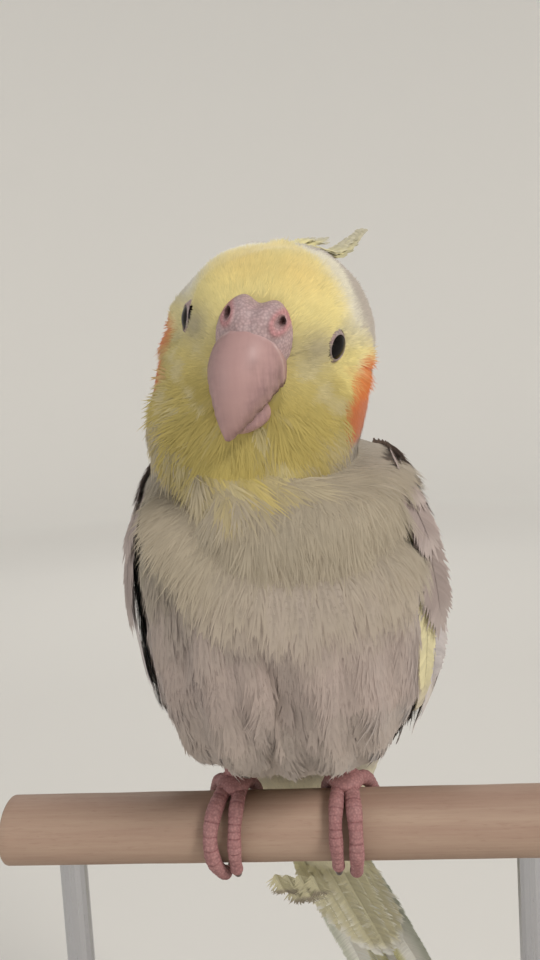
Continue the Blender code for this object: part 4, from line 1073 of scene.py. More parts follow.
def place_group(tree, group, shader, bump_strength, bump_distance, inputs=None):
    """Put a group in a material and feed the shader from its outputs."""
    node = tree.nodes.new("ShaderNodeGroup")
    node.node_tree = group
    for key, value in (inputs or {}).items():
        socket = node.inputs[key]
        socket.default_value = (*value, 1.0) if hasattr(value, "__len__") else value
    tree.links.new(node.outputs["Color"], shader.inputs["Base Color"])
    if "Roughness" in node.outputs:
        tree.links.new(node.outputs["Roughness"], shader.inputs["Roughness"])
    relief_node = add_node(
        tree,
        "Bump",
        {"Strength": bump_strength, "Distance": bump_distance * MM, "Height": node.outputs["Height"]},
    )
    tree.links.new(relief_node.outputs[0], shader.inputs["Normal"])
    return node


def feather_material(name, variation, tip_light, roughness=0.7, sheen=0.25):
    material, tree, shader = new_material(
        name,
        Roughness=roughness,
        Sheen_Weight=sheen,
        Sheen_Roughness=0.5,
        Specular_IOR_Level=0.25,
    )
    inputs = {"Variation": variation, "Tip Light": tip_light}
    place_group(tree, barb_tint_group(), shader, 0.15, 0.05, inputs)
    return material


# How wide a small feather's patch is on the unwrapped skin
PATCH = 0.003


def colour_property(title, text, code):
    return FloatVectorProperty(
        name=title, description=text, subtype="COLOR", min=0, max=1, default=paint(code)
    )


class CockatielPlumage(bpy.types.PropertyGroup):
    """Colours of the feathers."""

    forehead: colour_property("Forehead", "Yellow over the cere and round the eyes", "D9CC8E")
    crown: colour_property("Crown", "Deeper yellow along the crown", "D6BF7C")
    bib: colour_property("Bib", "Yellow under the bill and the cheeks", "B9A862")
    rim: colour_property("Face Rim", "Pale edge of the yellow face", "D6D2C6")
    lores: colour_property("Lores", "Grey-olive between bill and eye", "A89E84")
    cheek: colour_property("Cheek Patch", "Orange patch over the ear", "CA7238")
    collar: colour_property("Collar", "Olive-grey feathers under the bib", "A29784")
    breast: colour_property("Breast", "Fawn-grey of the breast and belly", "A79A90")
    blush: colour_property("Blush", "Pinkish tone of the middle breast", "AA9993")
    back: colour_property("Back", "Brownish grey of the back and rump", "988B82")
    nape: colour_property("Nape", "Grey of the nape and the rear of the head", "B0A69B")
    vent: colour_property("Vent", "Pale yellow fluff under the belly", "DAD3B0")
    covert: colour_property("Wing Coverts", "Taupe of the shoulder feathers", "9C8D88")
    covert_edge: colour_property("Covert Edges", "Pale edges of the shoulder feathers", "BDB1AB")
    wing_patch: colour_property("Wing Patch", "Pale panel of the outer coverts", "C6BEBD")
    flight: colour_property("Flight Feathers", "Dark brown of the primaries", "4F4038")
    lining: colour_property("Wing Lining", "Pale yellow feathers at the wing's front edge", "D6CDA4")
    secondary: colour_property("Secondaries", "Pale yellowish grey of the secondaries", "C9BD98")
    tail: colour_property("Tail", "Pale cream-yellow of the tail", "F6F4EA")
    tail_streak: colour_property("Tail Streak", "Grey-green middle of a tail feather", "D0D2C2")
    tail_edge: colour_property("Tail Edge", "Yellow edge of a tail feather", "E0DB8C")
    crest: colour_property("Crest", "Pale yellow of the crest", "E0D69C")
    crest_tip: colour_property("Crest Tips", "Greyish ends of the crest", "BDB7A0")


class CockatielCoat(bpy.types.PropertyGroup):
    """How dense the small feathers grow."""

    head_feathers: IntProperty(
        name="Head Feathers", description="Small feathers on the head", default=25000, min=100
    )
    neck_feathers: IntProperty(
        name="Neck Feathers", description="Loose feathers of the bib and the neck", default=9500, min=100
    )
    body_feathers: IntProperty(
        name="Body Feathers", description="Feathers of the breast, belly and back", default=8200, min=100
    )
    seed: IntProperty(name="Seed", description="Start of the random draws", default=11, min=0)


class CockatielBare(bpy.types.PropertyGroup):
    """Colours of what is bare of feathers."""

    bill: colour_property("Bill", "Pinkish mauve horn", "9A797A")
    # Paler horn for the streaks and flakes, and for the painted highlight along the bill's ridge
    bill_wear_and_highlight: colour_property("Bill Edges", "Paler worn horn", "B5928F")
    cere: colour_property("Cere", "Grey-pink bare skin", "BDA5A6")
    nostril: colour_property("Nostril Rims", "Pink swollen skin round the nostrils", "C08A8C")
    lids: colour_property("Lids", "Grey-lavender ring round the eye", "9C9290")
    iris: colour_property("Iris", "Dark brown iris", "0D0706")
    foot: colour_property("Feet", "Pink skin of the toes", "AE7F7E")
    # Between the scales the flush is also painted darker, as painted shade in the creases
    foot_flush: colour_property("Foot Flush", "Redder skin between the scales", "935B5D")
    claw: colour_property("Claws", "Dark horn", "51443E")


class CockatielStand(bpy.types.PropertyGroup):
    """The dowel, the stand and the stage."""

    dowel_light: colour_property("Dowel", "Pale peachy wood", "AE9683")
    dowel_dark: colour_property("Dowel Grain", "Darker grain of the dowel", "A08474")
    base_light: colour_property("Base", "Dark stained wood", "4A2F1E")
    base_dark: colour_property("Base Grain", "Darkest grain of the base", "24150C")
    steel: colour_property("Rods", "Brushed steel", "BEBEC2")
    floor: colour_property("Floor", "Plain pale floor", "E4E1DB")
    key_power: FloatProperty(
        name="Key Light", description="Power of the large soft light", default=14.0, min=0, unit="POWER"
    )
    fill_power: FloatProperty(
        name="Fill Light", description="Power of the light from the other side", default=1.3, min=0, unit="POWER"
    )
    world_strength: FloatProperty(
        name="Surrounding Light", description="Strength of the even light all round", default=0.16, min=0
    )


GROUPS = {
    "cockatiel_plumage": CockatielPlumage,
    "cockatiel_coat": CockatielCoat,
    "cockatiel_bare": CockatielBare,
    "cockatiel_stand": CockatielStand,
}


def tones_of(group):
    """The colours of a property group by name."""
    names = [key for key, value in group.bl_rna.properties.items() if value.type == "FLOAT"]
    return {key: np.array(getattr(group, key)[:3]) for key in names if hasattr(getattr(group, key), "__len__")}


def fan(count, reach_degrees, start_share):
    """Barbs of a small tuft, which fan out from near its root."""
    turns = np.linspace(-1, 1, count)
    return {
        "start": start_share * (1 - np.abs(turns)) + 0.0 * turns,
        "sign": np.where(turns < 0, -1.0, 1.0),
        "share": 1.0 - start_share * (1 - np.abs(turns)) - 0.25 * turns**2,
        "angle": np.abs(turns) * reach_degrees * DEG + 0.02,
    }


def pinnate(pairs, angle_degrees, breadth):
    """Barbs in pairs along a shaft, with one at its tip."""
    starts = np.linspace(0.08, 0.82, pairs)
    width = breadth * np.sin(np.pi * (0.18 + 0.75 * np.linspace(0, 1, pairs)) ** 0.9)
    share = np.maximum(width / math.sin(angle_degrees * DEG), 0.12)
    angles = angle_degrees * DEG * (1 - 0.45 * np.linspace(0, 1, pairs))
    return {
        "start": np.concatenate((starts, starts, (0.7,))),
        "sign": np.concatenate((-np.ones(pairs), np.ones(pairs), (1.0,))),
        "share": np.concatenate((share, share, (0.3,))),
        "angle": np.concatenate((angles, angles, (0.02,))),
    }


_hide = {}


def the_hide():
    """The skin's grid, worked out once."""
    if "skin" not in _hide:
        _hide["skin"] = Hide()
    return _hide["skin"]


def bare_mask(points):
    """1 where feathers grow, 0 over the cere, the bill's root and the eyes."""
    head = to_head(points)
    x, y, z = head[..., 0], head[..., 1], head[..., 2]
    front = 1 - smooth(-9, -6, y)
    cere = np.sqrt((x / 5.3) ** 2 + ((z - 2.2) / 5.6) ** 2)
    bill = np.sqrt((x / 4.9) ** 2 + ((z + 5.8) / 4.7) ** 2)
    covered = front * (np.minimum(cere, bill) < 1)
    for side in (1, -1):
        offset = head - eye_middle(side)
        axis = eye_axis(side)
        forward = offset @ axis
        away = np.linalg.norm(offset - forward[..., None] * axis, axis=-1)
        covered = np.maximum(covered, (away < 2.3) & (forward > 0))
    return 1.0 - covered


def under_wing(hide):
    """1 at the skin's places that the folded wings hide."""
    turn = np.arange(SKIN_COLUMNS) * 360 / SKIN_COLUMNS
    turn = np.minimum(turn, 360 - turn)
    place = TAIL_ROOT + (NECK_BASE - TAIL_ROOT) * hide.row_numbers() / (TORSO_STEPS - 1)
    round_back = smooth(92, 100, turn) * (1 - smooth(154, 162, turn))
    return round_back * smooth(6.6, 7.4, place) * (1 - smooth(10.6, 11.2, place))


class CockatielStage(bpy.types.Operator):
    """Set up the floor, the soft light and the camera"""

    bl_idname = "cockatiel.stage"
    bl_label = "Stage"

    def execute(self, context):
        values = context.scene.cockatiel_stand
        make_floor(tuple(values.floor))
        target = Vector(to_world((0, -12, 55)))
        add_light("key_light", (0.9, -0.8, 1.0), 0.5, values.key_power, (1.0, 0.97, 0.93), target)
        add_light("fill_light", (-0.75, -0.45, 0.30), 0.6, values.fill_power, (0.93, 0.96, 1.0), target)
        add_light("back_light", (-0.2, 0.95, 0.9), 0.5, 3 * values.fill_power, (1.0, 0.99, 0.97), target)
        world = bpy.data.worlds.new("studio")
        world.use_nodes = True
        background = world.node_tree.nodes["Background"]
        background.inputs["Color"].default_value = (0.93, 0.95, 1.0, 1.0)
        background.inputs["Strength"].default_value = values.world_strength
        context.scene.world = world
        context.scene.view_settings.view_transform = "Standard"
        place_camera(context.scene)
        return {"FINISHED"}


# The camera stands where the photo's did, seen from the dowel's middle
CAMERA_PLACE = np.array((9.53, -136.95, 77.08))
CAMERA_YAW = 4.34 * DEG
CAMERA_PITCH = -4.5 * DEG
CAMERA_ROLL = -3.408 * DEG
CAMERA_LENS = 28.0


def place_camera(scene):
    data = bpy.data.cameras.new("camera")
    data.lens = CAMERA_LENS
    data.sensor_width = 36.0
    data.clip_start = 0.005
    camera = bpy.data.objects.new("camera", data)
    forward = np.array((
        -math.sin(CAMERA_YAW) * math.cos(CAMERA_PITCH),
        math.cos(CAMERA_YAW) * math.cos(CAMERA_PITCH),
        math.sin(CAMERA_PITCH),
    ))
    level = np.array((math.cos(CAMERA_YAW), math.sin(CAMERA_YAW), 0.0))
    upward = np.cross(level, forward)
    right = level * math.cos(CAMERA_ROLL) + upward * math.sin(CAMERA_ROLL)
    up = upward * math.cos(CAMERA_ROLL) - level * math.sin(CAMERA_ROLL)
    camera.matrix_world = Matrix.Translation(Vector(to_world(CAMERA_PLACE))) @ Matrix(
        (right, up, -forward)
    ).transposed().to_4x4()
    scene.collection.objects.link(camera)
    scene.camera = camera


def add_light(name, place, size, power, colour, target):
    data = bpy.data.lights.new(name, "AREA")
    data.shape = "DISK"
    data.size = size
    data.energy = power
    data.color = colour
    light = bpy.data.objects.new(name, data)
    light.location = Vector(place) + Vector((0, 0, 0.15))
    light.rotation_euler = (light.location - target).to_track_quat("Z", "Y").to_euler()
    bpy.context.scene.collection.objects.link(light)


def make_floor(colour):
    """A round floor that sweeps up into a low pale rim far behind everything."""
    turns = np.linspace(0, 2 * math.pi, 96, endpoint=False)
    rows = [(radius, 0.0) for radius in (60, 300, 600, 1200, 2000)]
    rows += [(2000 + 900 * math.sin(a), 2600 * (1 - math.cos(a))) for a in np.linspace(0.1, 1.5, 16)]
    ground = -PERCH_MIDDLE[2] / MM - 0.1
    grid = np.array([
        [(r * math.cos(t), r * math.sin(t), ground + z) for t in turns] for r, z in rows
    ])
    # The far part glows faintly, so that it stays as pale as the lit floor
    glow = np.array([smooth(300, 1800, r + z) for r, z in rows])[:, None, None] * np.array(colour)
    mesh = grid_mesh("floor", grid, caps=(0,), colours=np.broadcast_to(glow, grid.shape))
    material, tree, shader = new_material("pale_floor", Base_Color=colour, Roughness=0.75, Emission_Strength=0.30)
    pigment = add_node(tree, "Attribute", attribute_name="pigment").outputs["Color"]
    tree.links.new(pigment, shader.inputs["Emission Color"])
    cloud = noise_node(tree, object_place(tree), 0.004, 2.0)
    tree.links.new(ramp_node(tree, cloud, 0.3, 0.7, 0.68, 0.8), shader.inputs["Roughness"])
    mesh.materials.append(material)
    floor = bpy.data.objects.new("floor", mesh)
    bpy.context.scene.collection.objects.link(floor)


class CockatielSkin(bpy.types.Operator):
    """Make the one skin that lies under the feathers of head, neck and torso"""

    bl_idname = "cockatiel.skin"
    bl_label = "Skin"

    def execute(self, context):
        hide = the_hide()
        tones = tones_of(context.scene.cockatiel_plumage)
        flat = hide.points.reshape(-1, 3)
        # The skin takes the plumage's colour at 0.85, as painted shade under the feathers
        colours = plumage(flat, tones) * 0.85
        mesh = grid_mesh("skin", hide.points, caps=(0, -1), colours=colours)
        map_like_bake(mesh)
        material = feather_material("under_down", 0.2, 0.0, roughness=0.95, sheen=0.1)
        new_object("skin", mesh, material, "body_feather", "head", "neck", "torso")
        return {"FINISHED"}


def map_like_bake(mesh):
    """Give a mesh without blades the map that the feather colours read."""
    source = mesh.uv_layers["OFBake"].data
    values = np.empty(2 * len(source), np.float32)
    source.foreach_get("uv", values)
    values[0::2] = 0.0
    values[1::2] = 0.5
    mesh.uv_layers.new(name="vane").data.foreach_set("uv", values)


COATS = (
    ("head", "face_feather", 15),
    ("neck", "neck_feather", 16),
    ("body", "body_feather", 17),
)


def coat_growth(kind, points, rng):
    """Lengths, heights and barbs of the small feathers at places on the skin."""
    head = to_head(points)
    if kind == "head":
        near = np.linalg.norm(head - (0, -16.5, 0.0), axis=1)
        length = np.interp(near, (5, 10, 16, 24, 34), (1.9, 2.9, 3.9, 4.8, 5.4))
        for side in (1, -1):
            eye = np.linalg.norm(head - eye_middle(side) - 2.4 * eye_axis(side), axis=1)
            length = np.minimum(length, np.interp(eye, (2.6, 4.4, 8.0), (0.9, 1.9, 9.0)))
        under = 1 - smooth(-15, -7, head[:, 2])
        length = length + under * (5.2 - length)
        height = np.interp(length, (1, 2, 4, 6), (0.3, 0.4, 0.55, 0.6)) + 0.1 * under
        barbs = fan(7, 22, 0.3)
        return {
            "length": length * rng.uniform(0.85, 1.2, len(points)),
            "height": height * rng.uniform(0.75, 1.3, len(points)),
            "barbs": barbs, "width": 0.18, "loose": 0.5, "taper": (0.9, 1.0, 0.0), "crisp": 0.2,
            "steps": (0.0, 0.5, 1.0), "camber": 0.03, "stray": 0.13, "swirl": 0.12, "tone": 0.04,
        }
    if kind == "neck":
        length = np.full(len(points), 7.4)
        ruff = bump(points[:, 2] - 64, 4)
        return {
            "length": length * rng.uniform(0.8, 1.25, len(points)),
            "height": (0.7 + 0.3 * ruff) * rng.uniform(0.6, 1.4, len(points)),
            "barbs": fan(10, 20, 0.5), "width": 0.28, "loose": 0.6, "taper": (0.9, 1.0, 0.0), "crisp": 0.18,
            "steps": (0.0, 0.5, 1.0), "camber": 0.03, "stray": 0.13, "swirl": 0.14, "tone": 0.03,
        }
    length = np.interp(points[:, 2], (2, 18), (5.5, 8.6))
    return {
        "length": length * rng.uniform(0.85, 1.2, len(points)),
        "height": 0.35 * rng.uniform(0.8, 1.2, len(points)),
        "barbs": pinnate(8, 16, 0.16), "width": 0.46, "loose": 0.3, "taper": (0.9, 1.0, 0.0), "crisp": 0.12,
        "steps": (0.0, 0.5, 1.0), "camber": 0.02, "stray": 0.05, "swirl": 0.06, "tone": 0.015,
    }


def coat_density(kind, hide):
    """Where each kind of small feather grows, and how close."""
    points = hide.points
    head = to_head(points)
    level = head[..., 2] + 0.35 * np.clip(head[..., 1] + 6, -8, 12)
    on_head = smooth(-13, -8, level)
    on_body = 1 - smooth(52, 60, points[..., 2])
    if kind == "head":
        fine = 1 + 0.9 * bump(np.linalg.norm(head - (0, -14, 1), axis=-1), 13)
        return on_head * fine * bare_mask(points)
    if kind == "neck":
        return (1 - on_head) * (1 - on_body) * bare_mask(points)
    return on_body * (1 - 0.93 * under_wing(hide))


class CockatielCoatMaker(bpy.types.Operator):
    """Grow the small feathers of head, neck and body over the skin"""

    bl_idname = "cockatiel.coat"
    bl_label = "Small Feathers"

    def execute(self, context):
        hide = the_hide()
        coat = context.scene.cockatiel_coat
        tones = tones_of(context.scene.cockatiel_plumage)
        counts = {"head": coat.head_feathers, "neck": coat.neck_feathers, "body": coat.body_feathers}
        for kind, slot, number in COATS:
            rng = np.random.default_rng(coat.seed + number)
            row, column = hide.scatter(counts[kind], coat_density(kind, hide), number)
            material = feather_material(f"{kind}_feathers", 0.12, 0.06)
            in_left = column < SKIN_COLUMNS / 2
            in_front = (column < SKIN_COLUMNS / 4) | (column > SKIN_COLUMNS * 3 / 4)
            for title, mask in (
                ("front_left", in_left & in_front),
                ("front_right", ~in_left & in_front),
                ("back_left", in_left & ~in_front),
                ("back_right", ~in_left & ~in_front),
            ):
                places = hide.read(hide.points, row[mask], column[mask])
                growth = coat_growth(kind, places, rng)
                blades = sprout(hide, row[mask], column[mask], growth, tones, rng)
                name = f"{kind}_feathers_{title}"
                tuft = new_object(name, blades_mesh(name, [blades]), material, slot)
                # Down lets the light through: the skin under it casts the bird's shadows
                tuft.visible_shadow = False
        return {"FINISHED"}


def wing_styles(tones):
    covert, edge, patch = tones["covert"], tones["covert_edge"], tones["wing_patch"]
    dark, pale, lining = tones["flight"], tones["secondary"], tones["lining"]
    soft = mix(covert, edge, 0.4)
    common = {"barbs": 46, "loose": 0.8, "rake": 1.1, "camber": 0.03, "cover": 1.7, "shaft": 0.22, "shaft_tone": 0.8}
    return {
        "primary": dict(common, barbs=90, loose=0.5, rake=1.5, tone=edged(dark, mix(dark, edge, 0.25), mix(dark, edge, 0.2), 0.8)),
        "lining": dict(common, barbs=56, loose=1.0, tone=edged(lining, lining, mix(lining, edge, 0.5))),
        "edge": dict(common, barbs=60, loose=0.4, tone=edged(dark, dark, mix(dark, edge, 0.2))),
        "secondary": dict(common, barbs=60, tone=edged(mix(patch, pale, 0.3), patch, edge, 0.2)),
        "tertial": dict(common, barbs=60, tone=edged(mix(dark, covert, 0.8), edge, edge, 0.6)),
        "greater": dict(common, barbs=52, tone=edged(patch, mix(patch, edge, 0.5), edge, 0.6)),
        "median": dict(common, tone=edged(covert, soft, soft, 0.62)),
        "lesser": dict(common, tone=edged(covert, soft, soft, 0.62)),
        "shoulder": dict(common, tone=edged(covert, soft, soft, 0.62)),
        "scapular": dict(common, tone=edged(covert, soft, soft, 0.66)),
    }


def wing_grid(side, rings=40, columns=36, thickness_share=1.0):
    """The outer face of the folded wing's arm and hand."""
    rows = curve_at(WING_ROWS, np.linspace(0, len(WING_ROWS) - 1, rings))
    share = np.linspace(0, 1, columns)
    turn = rows[:, 1:2] + (rows[:, 2:3] - rows[:, 1:2]) * share
    dome = WING_EDGE_SHARE + (1 - WING_EDGE_SHARE) * np.sin(np.pi * share) ** 0.6
    lift = WING_CLEAR + rows[:, 3:4] * dome * thickness_share
    turn, lift = held(side, turn, lift)
    grid = body_point(rows[:, 0:1], turn * DEG, lift)
    return swung(grid * (side, 1, 1))


class CockatielWings(bpy.types.Operator):
    """Lay the flight feathers and coverts of both folded wings"""

    bl_idname = "cockatiel.wings"
    bl_label = "Wings"

    def execute(self, context):
        tones = tones_of(context.scene.cockatiel_plumage)
        styles = wing_styles(tones)
        material = feather_material("wing_feathers", 0.18, 0.04, roughness=0.6, sheen=0.15)
        for side, name in ((1, "wing_left"), (-1, "wing_right")):
            rng = np.random.default_rng(context.scene.cockatiel_coat.seed + 40 + side)
            parts = []
            index = 0
            for kind, count, half_width, outline, *ends in WING_TIERS[side < 0:]:
                first_root, last_root, first_tip, last_tip = (np.array(end, float) for end in ends)
                for share in np.linspace(0, 1, count):
                    root = first_root + share * (last_root - first_root)
                    tip = first_tip + share * (last_tip - first_tip)
                    root[1:] = held(side, *root[1:])
                    tip[1:] = held(side, *tip[1:])
                    stations = wing_stations(root, tip)
                    ends_apart = stations(np.array((0.0, 1.0)))[0]
                    length = float(np.linalg.norm(ends_apart[1] - ends_apart[0]))
                    feather = quill(
                        stations, wing_settle(side), length, half_width, outline, styles[kind], rng
                    )
                    parts += cell_of(feather, index, 9, 9)
                    index += 1
            new_object(f"{name}_feathers", blades_mesh(f"{name}_feathers", parts), material, "wing_feather", name)
            grid = wing_grid(side)
            colours = np.broadcast_to(tones["covert"], grid.shape)
            arm = grid_mesh(f"{name}_arm", grid, wrap=False, colours=colours)
            map_like_bake(arm)
            new_object(f"{name}_arm", arm, material, "wing_feather", name)
        return {"FINISHED"}


class CockatielTail(bpy.types.Operator):
    """Stack the twelve tail feathers and their coverts"""

    bl_idname = "cockatiel.tail"
    bl_label = "Tail"

    def execute(self, context):
        tones = tones_of(context.scene.cockatiel_plumage)
        rng = np.random.default_rng(context.scene.cockatiel_coat.seed + 60)
        vane = edged(tones["tail"], tones["tail_edge"], tones["tail"], 0.6, dark_inner=tones["tail_streak"])
        style = {"barbs": 130, "loose": 0.25, "rake": 1.3, "camber": 0.02, "cover": 1.7, "shaft": 0.35, "shaft_tone": 0.85, "tone": vane}
        over = dict(style, barbs=44, loose=1.0, tone=edged(tones["back"], tones["collar"], tones["covert_edge"]))
        under = dict(style, barbs=44, loose=1.4, tone=edged(tones["vent"], tones["tail"], tones["tail"]))
        parts = []
        index = 0
        for length, half_width, heights, root, splay in TAIL_PAIRS:
            spread = root + length * math.tan(splay)
            for side, height in zip((1, -1), heights):
                stations = tail_stations(side, length, (root, height), (spread, height))
                feather = quill(stations, np.array, length, half_width, POINTED, style, rng)
                parts += cell_of(feather, index, 7, 7)
                index += 1
        for rows, height, tip_height, look in (
            (UPPER_TAIL_COVERTS, 3.4, 3.1, over),
            (UNDER_TAIL_COVERTS, -3.4, -3.6, under),
            (VENT_PLUMES, -7.4, -8.2, dict(under, loose=2.2, tone=edged(tones["vent"], tones["vent"], tones["collar"]))),
        ):
            for order, (length, across) in enumerate(rows):
                for side in (1, -1)[rows is VENT_PLUMES:]:
                    shift = 0.12 * order
                    stations = tail_stations(side, length, (across, height + shift), (across, tip_height + shift))
                    feather = quill(stations, np.array, length, TAIL_COVERT_HALF_WIDTH, ROUNDED, look, rng)
                    parts += cell_of(feather, index, 7, 7)
                    index += 1
        material = feather_material("tail_feathers", 0.15, 0.02, roughness=0.55, sheen=0.12)
        new_object("tail_feathers", blades_mesh("tail_feathers", parts), material, "tail_feather", "tail")
        return {"FINISHED"}


class CockatielCrest(bpy.types.Operator):
    """Lay the crest feathers back from the crown"""

    bl_idname = "cockatiel.crest"
    bl_label = "Crest"

    def execute(self, context):
        tones = tones_of(context.scene.cockatiel_plumage)
        rng = np.random.default_rng(context.scene.cockatiel_coat.seed + 80)
        tone = edged(tones["crest"], tones["crest"], tones["crest_tip"], 0.6, 0.55)
        style = {"barbs": 44, "loose": 1.6, "rake": 2.6, "camber": 0.05, "cover": 1.1, "shaft": 0.12, "shaft_tone": 0.9, "tone": tone}
        parts = []
        for index, (share, across, along, rise) in enumerate(CREST_FEATHERS):
            stations = crest_stations(share, across, along, rise)
            length = 42.0 * share
            feather = quill(stations, from_head, length, CREST_HALF_WIDTH, CURLED, style, rng)
            parts += cell_of(feather, index, 4, 4)
        material = feather_material("crest_feathers", 0.15, 0.05)
        new_object("crest_feathers", blades_mesh("crest_feathers", parts), material, "face_feather")
        return {"FINISHED"}


# Rows of the upper bill from its root to its tip: culmen (y, z), edge (y, z), half width
UPPER_BILL_ROWS = np.array([
    (-13.5, 5.2, -11.5, -3.4, 5.2),
    (-19.0, 5.0, -16.6, -3.2, 5.7),
    (-23.0, 2.9, -19.0, -3.5, 5.4),
    (-25.6, -0.7, -20.6, -5.1, 4.5),
    (-26.5, -4.6, -22.0, -7.1, 3.2),
    (-26.0, -8.2, -23.1, -9.3, 1.8),
    (-24.6, -11.0, -24.0, -11.0, 0.45),
])
# Rows of the lower bill from its root to its edge: top (y, z), chin (y, z), half width
LOWER_BILL_ROWS = np.array([
    (-11.0, -4.6, -10.5, -9.0, 4.6),
    (-15.5, -4.8, -14.4, -10.2, 4.8),
    (-18.6, -5.6, -17.2, -11.1, 4.2),
    (-20.8, -7.5, -19.6, -11.2, 2.9),
    (-21.8, -8.9, -21.2, -10.8, 1.5),
])
BILL_DOME = 0.85
BILL_FLOOR_ARCH = 0.12


def bill_grid(rows, rings, sides, upper):
    """Domed rings of one half of the bill, from its root to its tip."""
    place = np.linspace(0, len(rows) - 1, rings)
    values = curve_at(rows, place)
    low = np.stack((0 * place, values[:, 2], values[:, 3]), -1)
    up = np.stack((0 * place, values[:, 0] - values[:, 2], values[:, 1] - values[:, 3]), -1)
    height = np.linalg.norm(up, axis=1, keepdims=True)
    up = up / height
    turn = np.linspace(0, 2 * math.pi, sides, endpoint=False)
    sine, cosine = np.sin(turn), np.cos(turn)
    level = 0.5 + 0.5 * sine
    if upper:
        level = np.maximum(sine, 0) ** BILL_DOME
        level = np.where(sine < 0, -BILL_FLOOR_ARCH * sine, level)
    rise = height * level
    points = low[:, None] + up[:, None] * rise[..., None]
    points[..., 0] += values[:, 4:5] * cosine
    return points, place, turn


def horn_colours(points, place, turn, upper, bare):
    """Painted highlight along the ridge and painted shade down the sides, flaking at the root, dark along the
    cutting edge and at the tip.
    """
    base, pale = np.array(tuple(bare.bill)), np.array(tuple(bare.bill_wear_and_highlight))
    dark = base * (0.30, 0.24, 0.22)
    sine = np.sin(turn)[None, :]
    # The ridge is painted paler than the rest of the horn, as a painted highlight
    ridge = smooth(0.55, 1.0, sine + 0.06 * ripple(points, 1.6)) + 0 * place[:, None]
    colours = mix(base, pale, 0.8 * ridge * upper)
    rim = bump(sine - (0.02 if upper else 0.75), 0.10) * smooth(-0.3, 0.6, ripple(points, 0.9, 2.0))
    colours = mix(colours, dark, 0.75 * rim * (place[:, None] > 1.0))
    # The sides and underside of the upper bill are painted darker, as painted shade
    side = 1 - smooth(0.1, 0.75, sine) + 0.5 * smooth(0.3, 0.9, ripple(points, 2.3, 3.0))
    colours = mix(colours, base * 0.62, 0.6 * np.clip(side, 0, 1) * upper)
    flake = bump(place[:, None] - 1.35 - 0.1 * ripple(points, 0.7, 1.0), 0.10) * upper
    crack = bump(place[:, None] - 1.02 - 0.1 * ripple(points, 0.7, 1.0), 0.10) * upper
    colours = mix(colours, mix(pale, (1.0, 1.0, 1.0), 0.4), 0.7 * flake)
    colours = mix(colours, dark, 0.6 * crack * smooth(-0.2, 0.5, ripple(points, 1.1, 4.0)))
    return mix(colours, dark, 0.5 * smooth(5.6, 6.0, place)[:, None] * (sine < 2))


class CockatielBill(bpy.types.Operator):
    """Model the horn of both halves of the bill"""

    bl_idname = "cockatiel.bill"
    bl_label = "Bill"

    def execute(self, context):
        bare = context.scene.cockatiel_bare
        material, tree, shader = new_material(
            "bill_horn", Specular_IOR_Level=0.35
        )
        node = place_group(tree, horn_group(), shader, 0.12, 0.08, {"Edge": tuple(bare.bill_wear_and_highlight)})
        pigment = add_node(tree, "Attribute", attribute_name="pigment").outputs["Color"]
        tree.links.new(pigment, node.inputs["Base"])
        for name, rows, rings, upper in (
            ("bill_upper", UPPER_BILL_ROWS, 64, True),
            ("bill_lower", LOWER_BILL_ROWS, 40, False),
        ):
            points, place, turn = bill_grid(rows, rings, 72, upper)
            # A worn, slightly uneven edge and shallow growth steps
            edge = bump(np.sin(turn), 0.25)[None, :]
            points[..., 0] += 0.10 * edge * np.sin(place[:, None] * 9 + turn * 2)
            grow = 0.02 * ripple(points, 1.5, 3.0)[..., None]
            points = points + grow * unit(points - points.mean(axis=1, keepdims=True))
            colours = horn_colours(points, place, turn, upper, bare)
            mesh = grid_mesh(f"{name}_horn", from_head(points), caps=(0, -1), colours=colours)
            new_object(f"{name}_horn", mesh, material, "bill", name)
        return {"FINISHED"}


CERE_MIDDLE_HEIGHT = 2.6
CERE_HALF_WIDTH = 6.2
CERE_HALF_HEIGHT = 6.4
CERE_DIP = 1.5
CERE_DIP_WIDTH = 0.3
CERE_SWEEP = 0.32
CERE_FLAT_FRONT = 0.06
CERE_BACK = -13.0
CERE_FRONT = -21.4
NOSTRIL = np.array((3.9, -21.3, 5.7))
NOSTRIL_RADIUS = 1.15


